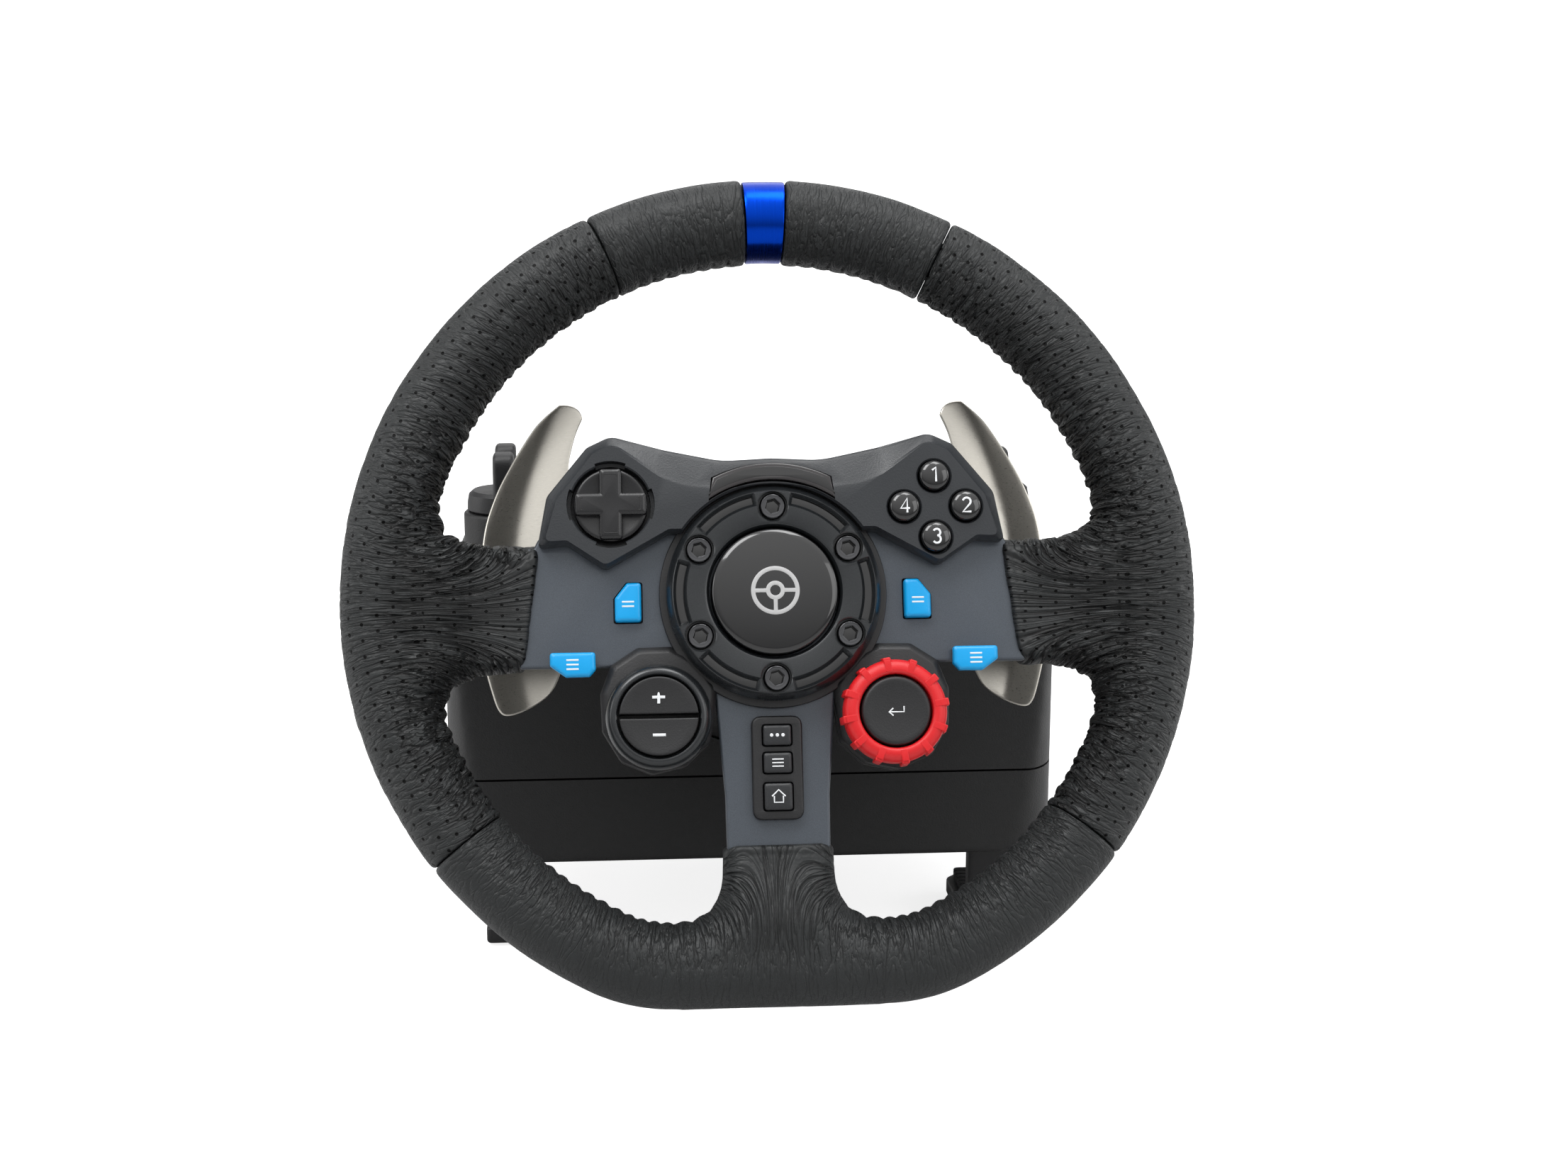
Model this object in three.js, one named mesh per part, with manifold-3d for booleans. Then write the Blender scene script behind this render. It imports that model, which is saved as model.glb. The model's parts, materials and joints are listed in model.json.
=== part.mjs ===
// Force-feedback racing wheel: leather rim, control hub, geared drive and a table-clamp base.
// Millimetres, +Z up, the driver sits at -Y, and the table top is the plane Z = 0.
import * as THREE from 'three';
import { mergeVertices } from 'three/addons/utils/BufferGeometryUtils.js';
import Module from 'manifold-3d';

const wasm = await Module();
wasm.setup();

// ---------------------------------------------------------------- driving dimensions
const GAP = 0.3;                 // clearance between a piece and the neighbour it rests on
const RIM_RADIUS = 130;          // rim centre to the outside of the leather
const GRIP_WIDTH = 26;           // leather section across the plane of the rim
const GRIP_DEPTH = 29;           // leather section along the steering axis
const FLAT_BOTTOM = 122.5;       // rim centre to the outside of the flat bottom
const FLAT_CORNER = 45;          // centre-line radius where the flat runs into the circle
const AXIS_TILT = 20;            // steering axis above the horizontal, degrees
const WHEEL_HEIGHT = 112;        // wheel centre above the table
const WHEEL_REACH = 123;         // wheel centre in front of the base's origin
const BOLT_CIRCLE = 25.7;        // radius of the six wheel bolts
const HUB_RADIUS = 32.2;         // outside of the hub ring
const CAP_RADIUS = 19;           // glossy centre cap
const HUB_DISC = 34.5;           // control body behind the hub ring
const BASE_WIDTH = 212;          // base across the front
const BASE_FRONT = -47;          // base front face at the table
const BASE_BACK = 104;           // base back face
const BASE_TOP = 122;            // top of the base above the table
const BASE_SEAM = 31;            // height of the joint between the two shells
const SHELL_WALL = 3;            // moulded shell thickness
const FOOT_HEIGHT = 1.5;         // rubber feet under the shell
const CLAMP_REACH = 84;          // clamp screws left and right of the centre
const CLAMP_Y = -20;             // clamp screws in front of the base's origin
const CLAMP_LEG = [-37, -29];    // front and back of the clamp arm's upright
const CLAMP_HALF = 8;            // half width of the upright
const CLAMP_FOOT = -31;          // underside of the clamp arm's foot
const KNOB_SEAT = 121;           // underside of the clamp knobs

// Levels along the steering axis, from the wheel's mid-plane towards the driver.
const CORE_HALF = 2;             // half thickness of the steel core
const PLATE_FRONT = 6;           // front of the painted spoke plate
const FASCIA_FRONT = 13;         // front of the control fascia
const POD_FRONT = 9;             // front of the two lower pods
const RING_BACK = 8.6;           // back of the hub ring
const RING_FRONT = 15;           // front of the hub ring
const BOLT_SEAT = 12;            // floor of the counterbores the bolt heads sit in
const HOUSING_BACK = -17;        // back of the rear housing
const PADDLE_LEVEL = -22.5;      // mid-plane of the shift paddles, and of the pins they turn on
const KEY_BACK = 3.6;            // back of the stems and keys that pass through the plate
const THROUGH = 20;              // reach of a cutter that passes right through a piece

const BOLT_HOLE = 2.9;           // clearance radius round a rim bolt
const CABLE_HOLE = 7;            // radius of the cable way through core and plate
const PAD_OPENING = 12.6;        // radius of the recess round the direction pad
const FACE_OPENING = 5;          // radius of the holes the face buttons pass through
const DISC_OPENING = 12.2;       // radius of the hole round the plus and minus buttons
const PADDLE_PIVOT_X = 25;       // paddle pins left and right of the steering axis
const PADDLE_HALF = 12;          // half height of the arm between a paddle and its pin
const PIN_RADIUS = 1.4;          // pins the paddles turn on
const LENS_ARC = [34, 39];       // inner and outer radius of the rev light window
const LENS_REACH = 30;           // degrees the window runs either side of the top
const COLUMN_RADIUS = 38;        // outside of the shroud where it enters the base
const RIG_HOLE = [36, 30];       // rig screws left and right of the centre, and behind the origin

const GRIP_CENTRE = RIM_RADIUS - GRIP_WIDTH / 2;
const FLAT_CENTRE = FLAT_BOTTOM - GRIP_WIDTH / 2;
const DOWN = -90;

// Places of the controls on the wheel face.
const PAD_PLACE = [-48.2, 27.1];
const FACE_PLACE = [49, 25.2];
const FACE_SPACING = 9.3;
const POD_PLACE = [35, -36.3];
const UPPER_BLUE_PLACE = [43.5, -1.8];
const LOWER_BLUE_PLACE = [60.2, -20.8];
const BLUE_STEM_Y = 2.4;         // stem of a lower blue button above the button's middle
const PLATE_END = 74;            // how far down the painted plate covers the lower spoke
const KEY_STRIP_Y = -52;
const KEY_WIDTH = 8.4;
const KEYS = [
  { name: 'menu_key_upper', y: -42.4, height: 6 },
  { name: 'menu_key_middle', y: -50.6, height: 6 },
  { name: 'menu_key_lower', y: -60.6, height: 8 },
];

// Gear train: module, teeth and the places of the two motors round the shaft.
const GEAR_MODULE = 2.2;
const GEAR_TEETH = 32;
const PINION_TEETH = 12;
const PRESSURE_ANGLE = 25;
const BACKLASH = 0.4;
const FRAME_FRONT = -108;        // front of the gearbox frame
const FRAME_BACK = -164;         // back of the gearbox frame
const FRAME_PLATE = 8;           // thickness of its two bearing plates
const GEAR_BACK = -134;          // back face of the large gear
const GEAR_FRONT = -125;         // front face of the large gear
const SHROUD_END = -104;         // back edge of the shroud round the column
const SHAFT_RADIUS = 10;         // steering shaft behind the flange
const SHAFT_END = -178;          // back end of the steering shaft
const FLANGE_BACK = -10.3;       // back of the flange the wheel is bolted to
const BEARING_RADIUS = 17.4;     // outside of the two bearings
const BEARING_WIDTH = 7;         // their length along the shaft
const MOTOR_RADIUS = 16;         // motor can
const MOTOR_LENGTH = 46;         // motor can
const ROTOR_RADIUS = 2.2;        // motor shaft
const MOTOR_ANGLES = { left: 200, right: -20 };
const CENTRE_DISTANCE = GEAR_MODULE * (GEAR_TEETH + PINION_TEETH) / 2 + 0.15;

// ---------------------------------------------------------------- materials
const LOOKS = {
  leather: { color: 0x1b1c1d, roughness: 0.62, metalness: 0 },
  anodised_blue: { color: 0x0a4db0, roughness: 0.25, metalness: 1 },
  slate_paint: { color: 0x4a5058, roughness: 0.4, metalness: 0.4 },
  charcoal_plastic: { color: 0x34373c, roughness: 0.55, metalness: 0 },
  black_plastic: { color: 0x141516, roughness: 0.5, metalness: 0 },
  gloss_black: { color: 0x050506, roughness: 0.08, metalness: 0 },
  satin_black_metal: { color: 0x18191b, roughness: 0.38, metalness: 0.6 },
  brushed_steel: { color: 0x8f8b83, roughness: 0.32, metalness: 1 },
  steel: { color: 0x9a9da1, roughness: 0.35, metalness: 1 },
  cast_alloy: { color: 0xa4a6a8, roughness: 0.5, metalness: 1 },
  bright_blue: { color: 0x12a0e0, roughness: 0.3, metalness: 0 },
  bright_red: { color: 0xe0262b, roughness: 0.35, metalness: 0 },
  smoked_lens: { color: 0x1a0f10, roughness: 0.1, metalness: 0 },
  circuit_board: { color: 0x12502f, roughness: 0.5, metalness: 0 },
  rubber: { color: 0x17181a, roughness: 0.85, metalness: 0 },
  white_nylon: { color: 0xd8d6cc, roughness: 0.55, metalness: 0 },
};

// ---------------------------------------------------------------- helpers
const radians = THREE.MathUtils.degToRad;
const root = new THREE.Group();

// Everything that turns about, or lines up with, the steering axis hangs on this group:
// its +Z runs up the steering axis towards the driver and its +Y points up the wheel.
const wheel = new THREE.Group();
wheel.position.set(0, -WHEEL_REACH, WHEEL_HEIGHT);
wheel.rotation.x = radians(90 - AXIS_TILT);
wheel.updateMatrix();
root.add(wheel);

function addPiece(parent, name, look, geometry) {
  geometry.computeVertexNormals();
  const mesh = new THREE.Mesh(geometry, new THREE.MeshStandardMaterial(LOOKS[look]));
  mesh.name = name;
  parent.add(mesh);
}

function toManifold(geometry) {
  const bare = geometry.clone();
  bare.deleteAttribute('normal');
  bare.deleteAttribute('uv');
  const welded = mergeVertices(bare, 1e-4);
  return new wasm.Manifold(new wasm.Mesh({
    numProp: 3,
    vertProperties: Float32Array.from(welded.attributes.position.array),
    triVerts: Uint32Array.from(welded.index.array),
  }));
}

function toGeometry(manifold) {
  const mesh = manifold.getMesh();
  const geometry = new THREE.BufferGeometry();
  geometry.setAttribute('position', new THREE.BufferAttribute(mesh.vertProperties, 3));
  geometry.setIndex(new THREE.BufferAttribute(mesh.triVerts, 1));
  return geometry;
}

function join(...geometries) {
  return toGeometry(geometries.map(toManifold).reduce((whole, piece) => whole.add(piece)));
}

function cut(geometry, ...tools) {
  const body = toManifold(geometry);
  return toGeometry(tools.map(toManifold).reduce((rest, tool) => rest.subtract(tool), body));
}

function overlapOf(...geometries) {
  return toGeometry(geometries.map(toManifold).reduce((common, piece) => common.intersect(piece)));
}

function polygon(points) {
  return new THREE.Shape(points.map(([x, y]) => new THREE.Vector2(x, y)));
}

function roundedBox(width, height, radius, x = 0, y = 0) {
  const right = x + width / 2 - radius;
  const left = x - width / 2 + radius;
  const top = y + height / 2 - radius;
  const bottom = y - height / 2 + radius;
  const shape = new THREE.Shape();
  shape.absarc(right, top, radius, 0, Math.PI / 2);
  shape.absarc(left, top, radius, Math.PI / 2, Math.PI);
  shape.absarc(left, bottom, radius, Math.PI, 1.5 * Math.PI);
  shape.absarc(right, bottom, radius, 1.5 * Math.PI, 2 * Math.PI);
  return shape;
}

// Mirror a half outline, listed from the centre line outwards, into a closed one.
function mirrored(half) {
  const other = half.filter(([x]) => x > 0).map(([x, y]) => [-x, y]).reverse();
  return polygon([...half, ...other]);
}

// An outline drawn on the right, put on the side the sign says.
function onSide(points, sign) {
  return polygon(points.map(([x, y]) => [sign * x, y]));
}

// A flat piece with the given outline between two levels, its edges broken by a bevel.
function slab(shape, low, high, { bevel = 0, segments = 2 } = {}) {
  const geometry = new THREE.ExtrudeGeometry(shape, {
    depth: high - low - 2 * bevel,
    curveSegments: segments,
    bevelEnabled: bevel > 0,
    bevelThickness: bevel,
    bevelSize: bevel,
    bevelOffset: -bevel,
    bevelSegments: 1,
  });
  return geometry.translate(0, 0, low + bevel);
}

// A round piece standing on the steering direction between two levels.
function post(radius, low, high, x = 0, y = 0, facets = 8) {
  const geometry = new THREE.CylinderGeometry(radius, radius, high - low, facets);
  return geometry.rotateX(Math.PI / 2).translate(x, y, (low + high) / 2);
}

// A turned piece: profile points are [radius, level] pairs.
function turned(profile, facets = 20) {
  const points = profile.map(([radius, level]) => new THREE.Vector2(radius, level));
  return new THREE.LatheGeometry(points, facets).rotateX(Math.PI / 2);
}

// A tube of rectangular section turned about the axis.
function ring(inner, outer, low, high, facets = 20) {
  return turned([[inner, low], [outer, low], [outer, high], [inner, high], [inner, low]], facets);
}

function block(low, high) {
  const size = high.map((value, axis) => value - low[axis]);
  const middle = high.map((value, axis) => (value + low[axis]) / 2);
  return new THREE.BoxGeometry(...size).translate(...middle);
}

// Carry a piece drawn on the steering axis into the frame of the base.
function onBase(geometry) {
  return geometry.clone().applyMatrix4(wheel.matrix);
}

function polar(radius, degrees) {
  return [radius * Math.cos(radians(degrees)), radius * Math.sin(radians(degrees))];
}

const boltPlaces = [90, 30, -30, -90, -150, 150].map((angle) => polar(BOLT_CIRCLE, angle));
const sides = [{ side: 'left', sign: -1 }, { side: 'right', sign: 1 }];

// ---------------------------------------------------------------- rim
// Distance from the rim's centre to its centre line in a given direction. The line is a circle
// with a chord across the bottom, and an arc between the two.
const cornerReach = GRIP_CENTRE - FLAT_CORNER;
const cornerAngle = Math.acos((FLAT_CENTRE - FLAT_CORNER) / cornerReach);
const flatAngle = Math.atan2(cornerReach * Math.sin(cornerAngle), FLAT_CENTRE);

function rimReach(degrees, offset = 0) {
  const turn = Math.abs(((degrees - DOWN + 540) % 360) - 180);
  const fromDown = radians(turn);
  if (fromDown >= cornerAngle) {
    return GRIP_CENTRE + offset;
  }
  if (fromDown <= flatAngle) {
    return (FLAT_CENTRE + offset) / Math.cos(fromDown);
  }
  const across = cornerReach * Math.sin(fromDown - cornerAngle);
  const corner = FLAT_CORNER + offset;
  return cornerReach * Math.cos(fromDown - cornerAngle) + Math.sqrt(corner ** 2 - across ** 2);
}

// The rim's centre line between two directions, as a curve to sweep along.
class RimLine extends THREE.Curve {
  constructor(start, end) {
    super();
    this.start = start;
    this.end = end;
  }

  getPoint(fraction) {
    const degrees = this.start + (this.end - this.start) * fraction;
    return new THREE.Vector3(...polar(rimReach(degrees), degrees), 0);
  }
}

function sweepRim(shape, start, end, steps) {
  return new THREE.ExtrudeGeometry(shape, { steps, extrudePath: new RimLine(start, end), curveSegments: 1 });
}

// The rim's outline at a distance outside its centre line.
function rimOutline(offset, Kind = THREE.Shape) {
  const steps = 48;
  const points = [];
  for (let step = 0; step < steps; step += 1) {
    const degrees = step * 360 / steps;
    points.push(new THREE.Vector2(...polar(rimReach(degrees, offset), degrees)));
  }
  return new Kind(points);
}

// Stamped steel core: a flat band inside the leather, two side spokes, a lower spoke and the hub
// disc. Growing it gives the room it needs in the pieces around it.
const CORE_WIDTH = 12;
const CORE_SPOKE = 11;
const CORE_LOWER_SPOKE = 9;

function coreBody(grow = 0) {
  const high = CORE_HALF + grow;
  const side = CORE_SPOKE + grow;
  const lower = CORE_LOWER_SPOKE + grow;
  const outline = rimOutline(CORE_WIDTH / 2 + grow);
  outline.holes.push(rimOutline(-CORE_WIDTH / 2 - grow, THREE.Path));
  return join(
    slab(outline, -high, high),
    block([-GRIP_CENTRE, -side, -high], [GRIP_CENTRE, side, high]),
    block([-lower, -FLAT_CENTRE, -high], [lower, 0, high]),
    post(HUB_RADIUS + grow, -high, high, 0, 0, 24),
  );
}

// Leather section: its width runs along the steering axis and its height across the rim.
function gripSection(trim = 0) {
  return roundedBox(GRIP_DEPTH - 2 * trim, GRIP_WIDTH - 2 * trim, GRIP_WIDTH / 2 - trim - 1);
}

// Leather sleeve over the outer end of a spoke that points in a given direction.
const SLEEVE_START = 72;
const SLEEVE_DEPTH = 16;
const SIDE_SPOKE = { top: 16, bottom: -22 };

function spokeSleeve(degrees, start, end, low, high) {
  const section = roundedBox(SLEEVE_DEPTH, high - low, 5, 0, (high + low) / 2);
  const out = new THREE.Vector3(...polar(1, degrees), 0);
  const depth = new THREE.Vector3(0, 0, -1);
  const across = new THREE.Vector3().crossVectors(out, depth);
  const turn = new THREE.Matrix4().makeBasis(depth, across, out);
  return slab(section, start, end, { segments: 1 }).applyMatrix4(turn);
}

function buildRim() {
  const bandHalf = 3.1;
  const seams = { upperRight: 63, upperLeft: 115, lowerLeft: 218, lowerRight: 322 };
  const split = 0.15;
  const sleeveEnd = GRIP_CENTRE - GRIP_WIDTH / 2 + 4;
  const room = coreBody(GAP);
  const holes = boltPlaces.map(([x, y]) => post(BOLT_HOLE, -THROUGH, THROUGH, x, y));
  const cableWay = post(CABLE_HOLE, -THROUGH, THROUGH);
  addPiece(wheel, 'rim_core', 'steel', cut(coreBody(), cableWay, ...holes));
  addPiece(wheel, 'centre_marker_band', 'anodised_blue',
    cut(sweepRim(gripSection(0.8), 90 - bandHalf + split, 90 + bandHalf - split, 2), room));
  addPiece(wheel, 'grip_top_left', 'leather',
    cut(sweepRim(gripSection(), 90 + bandHalf, seams.upperLeft - split, 3), room));
  addPiece(wheel, 'grip_top_right', 'leather',
    cut(sweepRim(gripSection(), seams.upperRight + split, 90 - bandHalf, 3), room));
  addPiece(wheel, 'grip_left', 'leather', cut(join(
    sweepRim(gripSection(), seams.upperLeft + split, seams.lowerLeft - split, 12),
    spokeSleeve(180, SLEEVE_START, sleeveEnd, SIDE_SPOKE.bottom, SIDE_SPOKE.top),
  ), room));
  addPiece(wheel, 'grip_right', 'leather', cut(join(
    sweepRim(gripSection(), seams.lowerRight - 360 + split, seams.upperRight - split, 12),
    spokeSleeve(0, SLEEVE_START, sleeveEnd, -SIDE_SPOKE.top, -SIDE_SPOKE.bottom),
  ), room));
  const bottomHalf = 17;
  addPiece(wheel, 'grip_bottom', 'leather', cut(join(
    sweepRim(gripSection(), seams.lowerLeft + split, seams.lowerRight - split, 14),
    spokeSleeve(DOWN, PLATE_END + 0.5, FLAT_CENTRE - GRIP_WIDTH / 2 + 4, -bottomHalf, bottomHalf),
  ), room));
}

// ---------------------------------------------------------------- hub
function spokePlate() {
  const sideEnd = SLEEVE_START - 0.5;
  const half = [[0, 32.5], [12, 30], [24, 22], [29, 15], [sideEnd, 15], [sideEnd, -21],
    [26, -21], [18, -30], [15.6, -PLATE_END], [0, -PLATE_END]];
  const plate = slab(mirrored(half), CORE_HALF + GAP, PLATE_FRONT, { bevel: 0.8 });
  const keySlot = roundedBox(10.4, 27.4, 1, 0, KEY_STRIP_Y);
  const openings = [post(CABLE_HOLE, 0, THROUGH), slab(keySlot, 0, THROUGH, { segments: 1 })];
  openings.push(...boltPlaces.map(([x, y]) => post(BOLT_HOLE, 0, THROUGH, x, y)));
  for (const { sign } of sides) {
    const [x, y] = UPPER_BLUE_PLACE;
    const buttonSlot = roundedBox(9.1, 12.6, 1, sign * x, y);
    openings.push(slab(buttonSlot, 0, THROUGH, { segments: 1 }));
    openings.push(post(2.4, 0, THROUGH, sign * LOWER_BLUE_PLACE[0], LOWER_BLUE_PLACE[1] + BLUE_STEM_Y));
  }
  return cut(plate, ...openings);
}

// The control body seen from the driver: two wings and a bridge over the hub, a disc behind the
// hub ring and two lower pods, all drawn in by an inset.
function controlBody(inset, low, high, bevel = 0) {
  const wings = mirrored([[0, 41.5], [15, 40.5], [32, 44], [49, 48.5], [55.5, 44.5], [67.5, 30], [70.5, 16.5],
    [62, 16.8], [50, 10.5], [32, 19], [0, 19]]);
  const pod = [[17, -24], [33, -14], [50, -21], [52, -34], [38, -54], [22, -46]];
  const options = { bevel: Math.max(bevel, inset) };
  const parts = [slab(wings, low - inset, high + inset, options)];
  parts.push(post(HUB_DISC - inset, low, high, 0, 0, 24));
  for (const { sign } of sides) {
    parts.push(slab(onSide(pod, sign), low - inset, high + inset, options));
  }
  const body = join(...parts);
  if (inset === 0) {
    return body;
  }
  return overlapOf(body, block([-90, -90, low], [90, 90, high]));
}

function controlFascia() {
  const wall = 2;
  const faceBack = 5;              // behind the front wall, in front of the plate's room
  const abovePods = (level) => block([-60, -70, level], [60, -12, THROUGH]);
  const body = controlBody(0, -CORE_HALF, FASCIA_FRONT, 1.2);
  const ringSeat = post(HUB_RADIUS + 0.8, RING_BACK - GAP, THROUGH, 0, 0, 24);
  const hollow = cut(controlBody(wall, -5, FASCIA_FRONT - 2.5), abovePods(POD_FRONT - wall),
    post(HUB_RADIUS + wall, PLATE_FRONT + GAP, THROUGH, 0, 0, 24));
  const openings = [
    post(CAP_RADIUS + 1.6, 0, THROUGH, 0, 0, 20),
    post(PAD_OPENING, faceBack, THROUGH, ...PAD_PLACE, 20),
    post(DISC_OPENING, faceBack, THROUGH, -POD_PLACE[0], POD_PLACE[1], 20),
    post(3.6, faceBack, THROUGH, ...POD_PLACE),
    lensArc(0.4, 6, THROUGH),
    ...boltPlaces.map(([x, y]) => post(BOLT_HOLE, 0, THROUGH, x, y)),
    ...faceButtonPlaces().map(([x, y]) => post(FACE_OPENING, faceBack, THROUGH, x, y, 10)),
  ];
  const collar = ring(DISC_OPENING, 15, POD_FRONT - 0.5, FASCIA_FRONT, 20);
  collar.translate(-POD_PLACE[0], POD_PLACE[1], 0);
  return join(cut(body, abovePods(POD_FRONT), ringSeat, hollow, controlPlateRoom(), ...openings), collar);
}

// Room for the steel core and the painted plate where they pass through the control body.
function controlPlateRoom() {
  const top = PLATE_FRONT + GAP;
  return join(
    block([-90, -21.4, -6], [90, 15.4, top]),
    block([-18.6, -90, -6], [18.6, 0, top]),
    post(HUB_RADIUS + 1.2, -6, top, 0, 0, 24),
  );
}

function faceButtonPlaces() {
  return [90, 0, -90, 180].map((angle) => {
    const [x, y] = polar(FACE_SPACING, angle);
    return [FACE_PLACE[0] + x, FACE_PLACE[1] + y];
  });
}

// A curved strip between two radii, running a number of degrees either side of a direction.
function arcShape(inner, outer, degrees, reach) {
  const start = radians(degrees - reach);
  const end = radians(degrees + reach);
  const shape = new THREE.Shape();
  shape.absarc(0, 0, outer, start, end);
  shape.absarc(0, 0, inner, end, start, true);
  return shape;
}

// Arc-shaped window of the rev lights over the hub ring.
function lensArc(grow, low, high) {
  return slab(arcShape(LENS_ARC[0] - grow, LENS_ARC[1] + grow, 90, LENS_REACH), low, high, { segments: 4 });
}

function rearHousing() {
  const shell = controlBody(0, HOUSING_BACK, -CORE_HALF - GAP, 1.2);
  const hollow = controlBody(2, HOUSING_BACK + 2, 0);
  const body = cut(shell, hollow, post(14, HOUSING_BACK - 5, 0, 0, 0, 16));
  const earHalf = 3.4;
  const earInner = 17.4;
  const earOuter = 20.4;
  const mounts = [];
  for (const { sign } of sides) {
    const x = sign * PADDLE_PIVOT_X;
    for (const [near, far] of [[earInner, earOuter], [-earOuter, -earInner]]) {
      mounts.push(block([x - earHalf, near, PADDLE_LEVEL - 2], [x + earHalf, far, HOUSING_BACK + 1]));
    }
    mounts.push(alongY(PIN_RADIUS, -18, 18, x, PADDLE_LEVEL, 8));
  }
  mounts.push(post(3, HOUSING_BACK + 1, 0.5, ...PAD_PLACE));
  return join(body, ...mounts);
}

// A round bar along the wheel's Y direction.
function alongY(radius, low, high, x, level, barSides = 16) {
  const bar = new THREE.CylinderGeometry(radius, radius, high - low, barSides);
  return bar.translate(x, (low + high) / 2, level);
}

function hubRing() {
  const body = turned([[CAP_RADIUS + 0.5, RING_BACK], [HUB_RADIUS, RING_BACK], [HUB_RADIUS, RING_FRONT - 1.5],
    [HUB_RADIUS - 1.5, RING_FRONT], [CAP_RADIUS + 1.4, RING_FRONT], [CAP_RADIUS + 0.5, RING_FRONT - 0.9],
    [CAP_RADIUS + 0.5, RING_BACK]], 24);
  const tools = [];
  for (const [x, y] of boltPlaces) {
    tools.push(post(4.75, BOLT_SEAT, THROUGH, x, y, 10));
    tools.push(post(BOLT_HOLE, 0, THROUGH, x, y));
  }
  for (let index = 0; index < 6; index += 1) {
    tools.push(slab(arcShape(27, 29.8, index * 60, 18), RING_FRONT - 1.6, THROUGH, { segments: 1 }));
  }
  return cut(body, ...tools);
}

function rimBolt() {
  const shank = 2.4;
  const head = 4;
  const seat = BOLT_SEAT + 0.1;
  const top = seat + 2.5;
  const profile = [[0, -10], [shank, -10], [shank, seat], [head, seat], [head, top - 0.4],
    [head - 0.4, top], [0, top]];
  return cut(turned(profile, 8), post(2.31, seat + GAP, THROUGH, 0, 0, 6));
}

function buildHub() {
  addPiece(wheel, 'spoke_plate', 'slate_paint', spokePlate());
  addPiece(wheel, 'control_fascia', 'charcoal_plastic', controlFascia());
  addPiece(wheel, 'control_housing_rear', 'black_plastic', rearHousing());
  addPiece(wheel, 'rev_light_lens', 'smoked_lens', lensArc(0, 7, FASCIA_FRONT + 0.4));
  addPiece(wheel, 'hub_ring', 'satin_black_metal', hubRing());
  addPiece(wheel, 'hub_cap', 'gloss_black',
    turned([[0, 9], [CAP_RADIUS, 9], [CAP_RADIUS, 14.8], [17.6, 16], [10, 17.2], [0, 17.6]], 24));
  boltPlaces.forEach(([x, y], index) => {
    addPiece(wheel, `rim_bolt_${index + 1}`, 'satin_black_metal', rimBolt().translate(x, y, 0));
  });
  const hubHole = post(33, -THROUGH, 0, 0, 0, 24);
  const padHole = post(3.4, -THROUGH, 0, ...PAD_PLACE);
  const belowBoard = block([-90, -90, -THROUGH], [90, 12, 0]);
  addPiece(wheel, 'control_board', 'circuit_board',
    cut(controlBody(3, -4.6, -3), hubHole, padHole, belowBoard));
}

// ---------------------------------------------------------------- wheel controls
function directionPad() {
  const disc = turned([[0, 8], [11.2, 8], [11.2, 12], [9.6, 13.4], [0, 13.4]], 20);
  const bars = [slab(roundedBox(20, 6.4, 1), 12.5, 14.6, { segments: 1 }),
    slab(roundedBox(6.4, 20, 1), 12.5, 14.6, { segments: 1 })];
  const pad = join(disc, ...bars);
  return cut(pad, post(2.4, 4, 10)).translate(...PAD_PLACE, 0);
}

function blueUpper(sign) {
  const outline = [[-4.15, -5.9], [4.15, -5.9], [4.15, 2.6], [1.8, 5.9], [-4.15, 5.9]];
  const button = slab(onSide(outline, sign), KEY_BACK, 9, { bevel: 0.5 });
  return button.translate(sign * UPPER_BLUE_PLACE[0], UPPER_BLUE_PLACE[1], 0);
}

function blueLower(sign) {
  const cap = polygon([[-4.6, -3.65], [4.6, -3.65], [6.85, -0.8], [6.85, 3.65], [-6.85, 3.65],
    [-6.85, -0.8]]);
  const button = join(slab(cap, 7.7, 11, { bevel: 0.5 }), post(2, KEY_BACK, 8, 0, BLUE_STEM_Y));
  return button.translate(sign * LOWER_BLUE_PLACE[0], LOWER_BLUE_PLACE[1], 0);
}

function halfDiscButton(sign) {
  const radius = 11.6;
  const halfGap = 0.9;
  const start = Math.asin(halfGap / radius);
  const shape = new THREE.Shape();
  shape.absarc(0, 0, radius, start, Math.PI - start);
  const button = slab(shape, 7.5, 14.2, { bevel: 0.5, segments: 5 });
  if (sign < 0) {
    button.rotateZ(Math.PI);
  }
  return button.translate(-POD_PLACE[0], POD_PLACE[1], 0);
}

function selectorDial() {
  const base = POD_FRONT + GAP;
  const body = ring(10.9, 15.4, base, 17.4, 24);
  const count = 12;
  const ribs = [];
  for (let index = 0; index < count; index += 1) {
    const rib = block([14.5, -1.1, base], [16.4, 1.1, 16.8]);
    ribs.push(rib.rotateZ(radians(index * 360 / count + 9)));
  }
  return join(body, ...ribs).translate(...POD_PLACE, 0);
}

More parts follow.
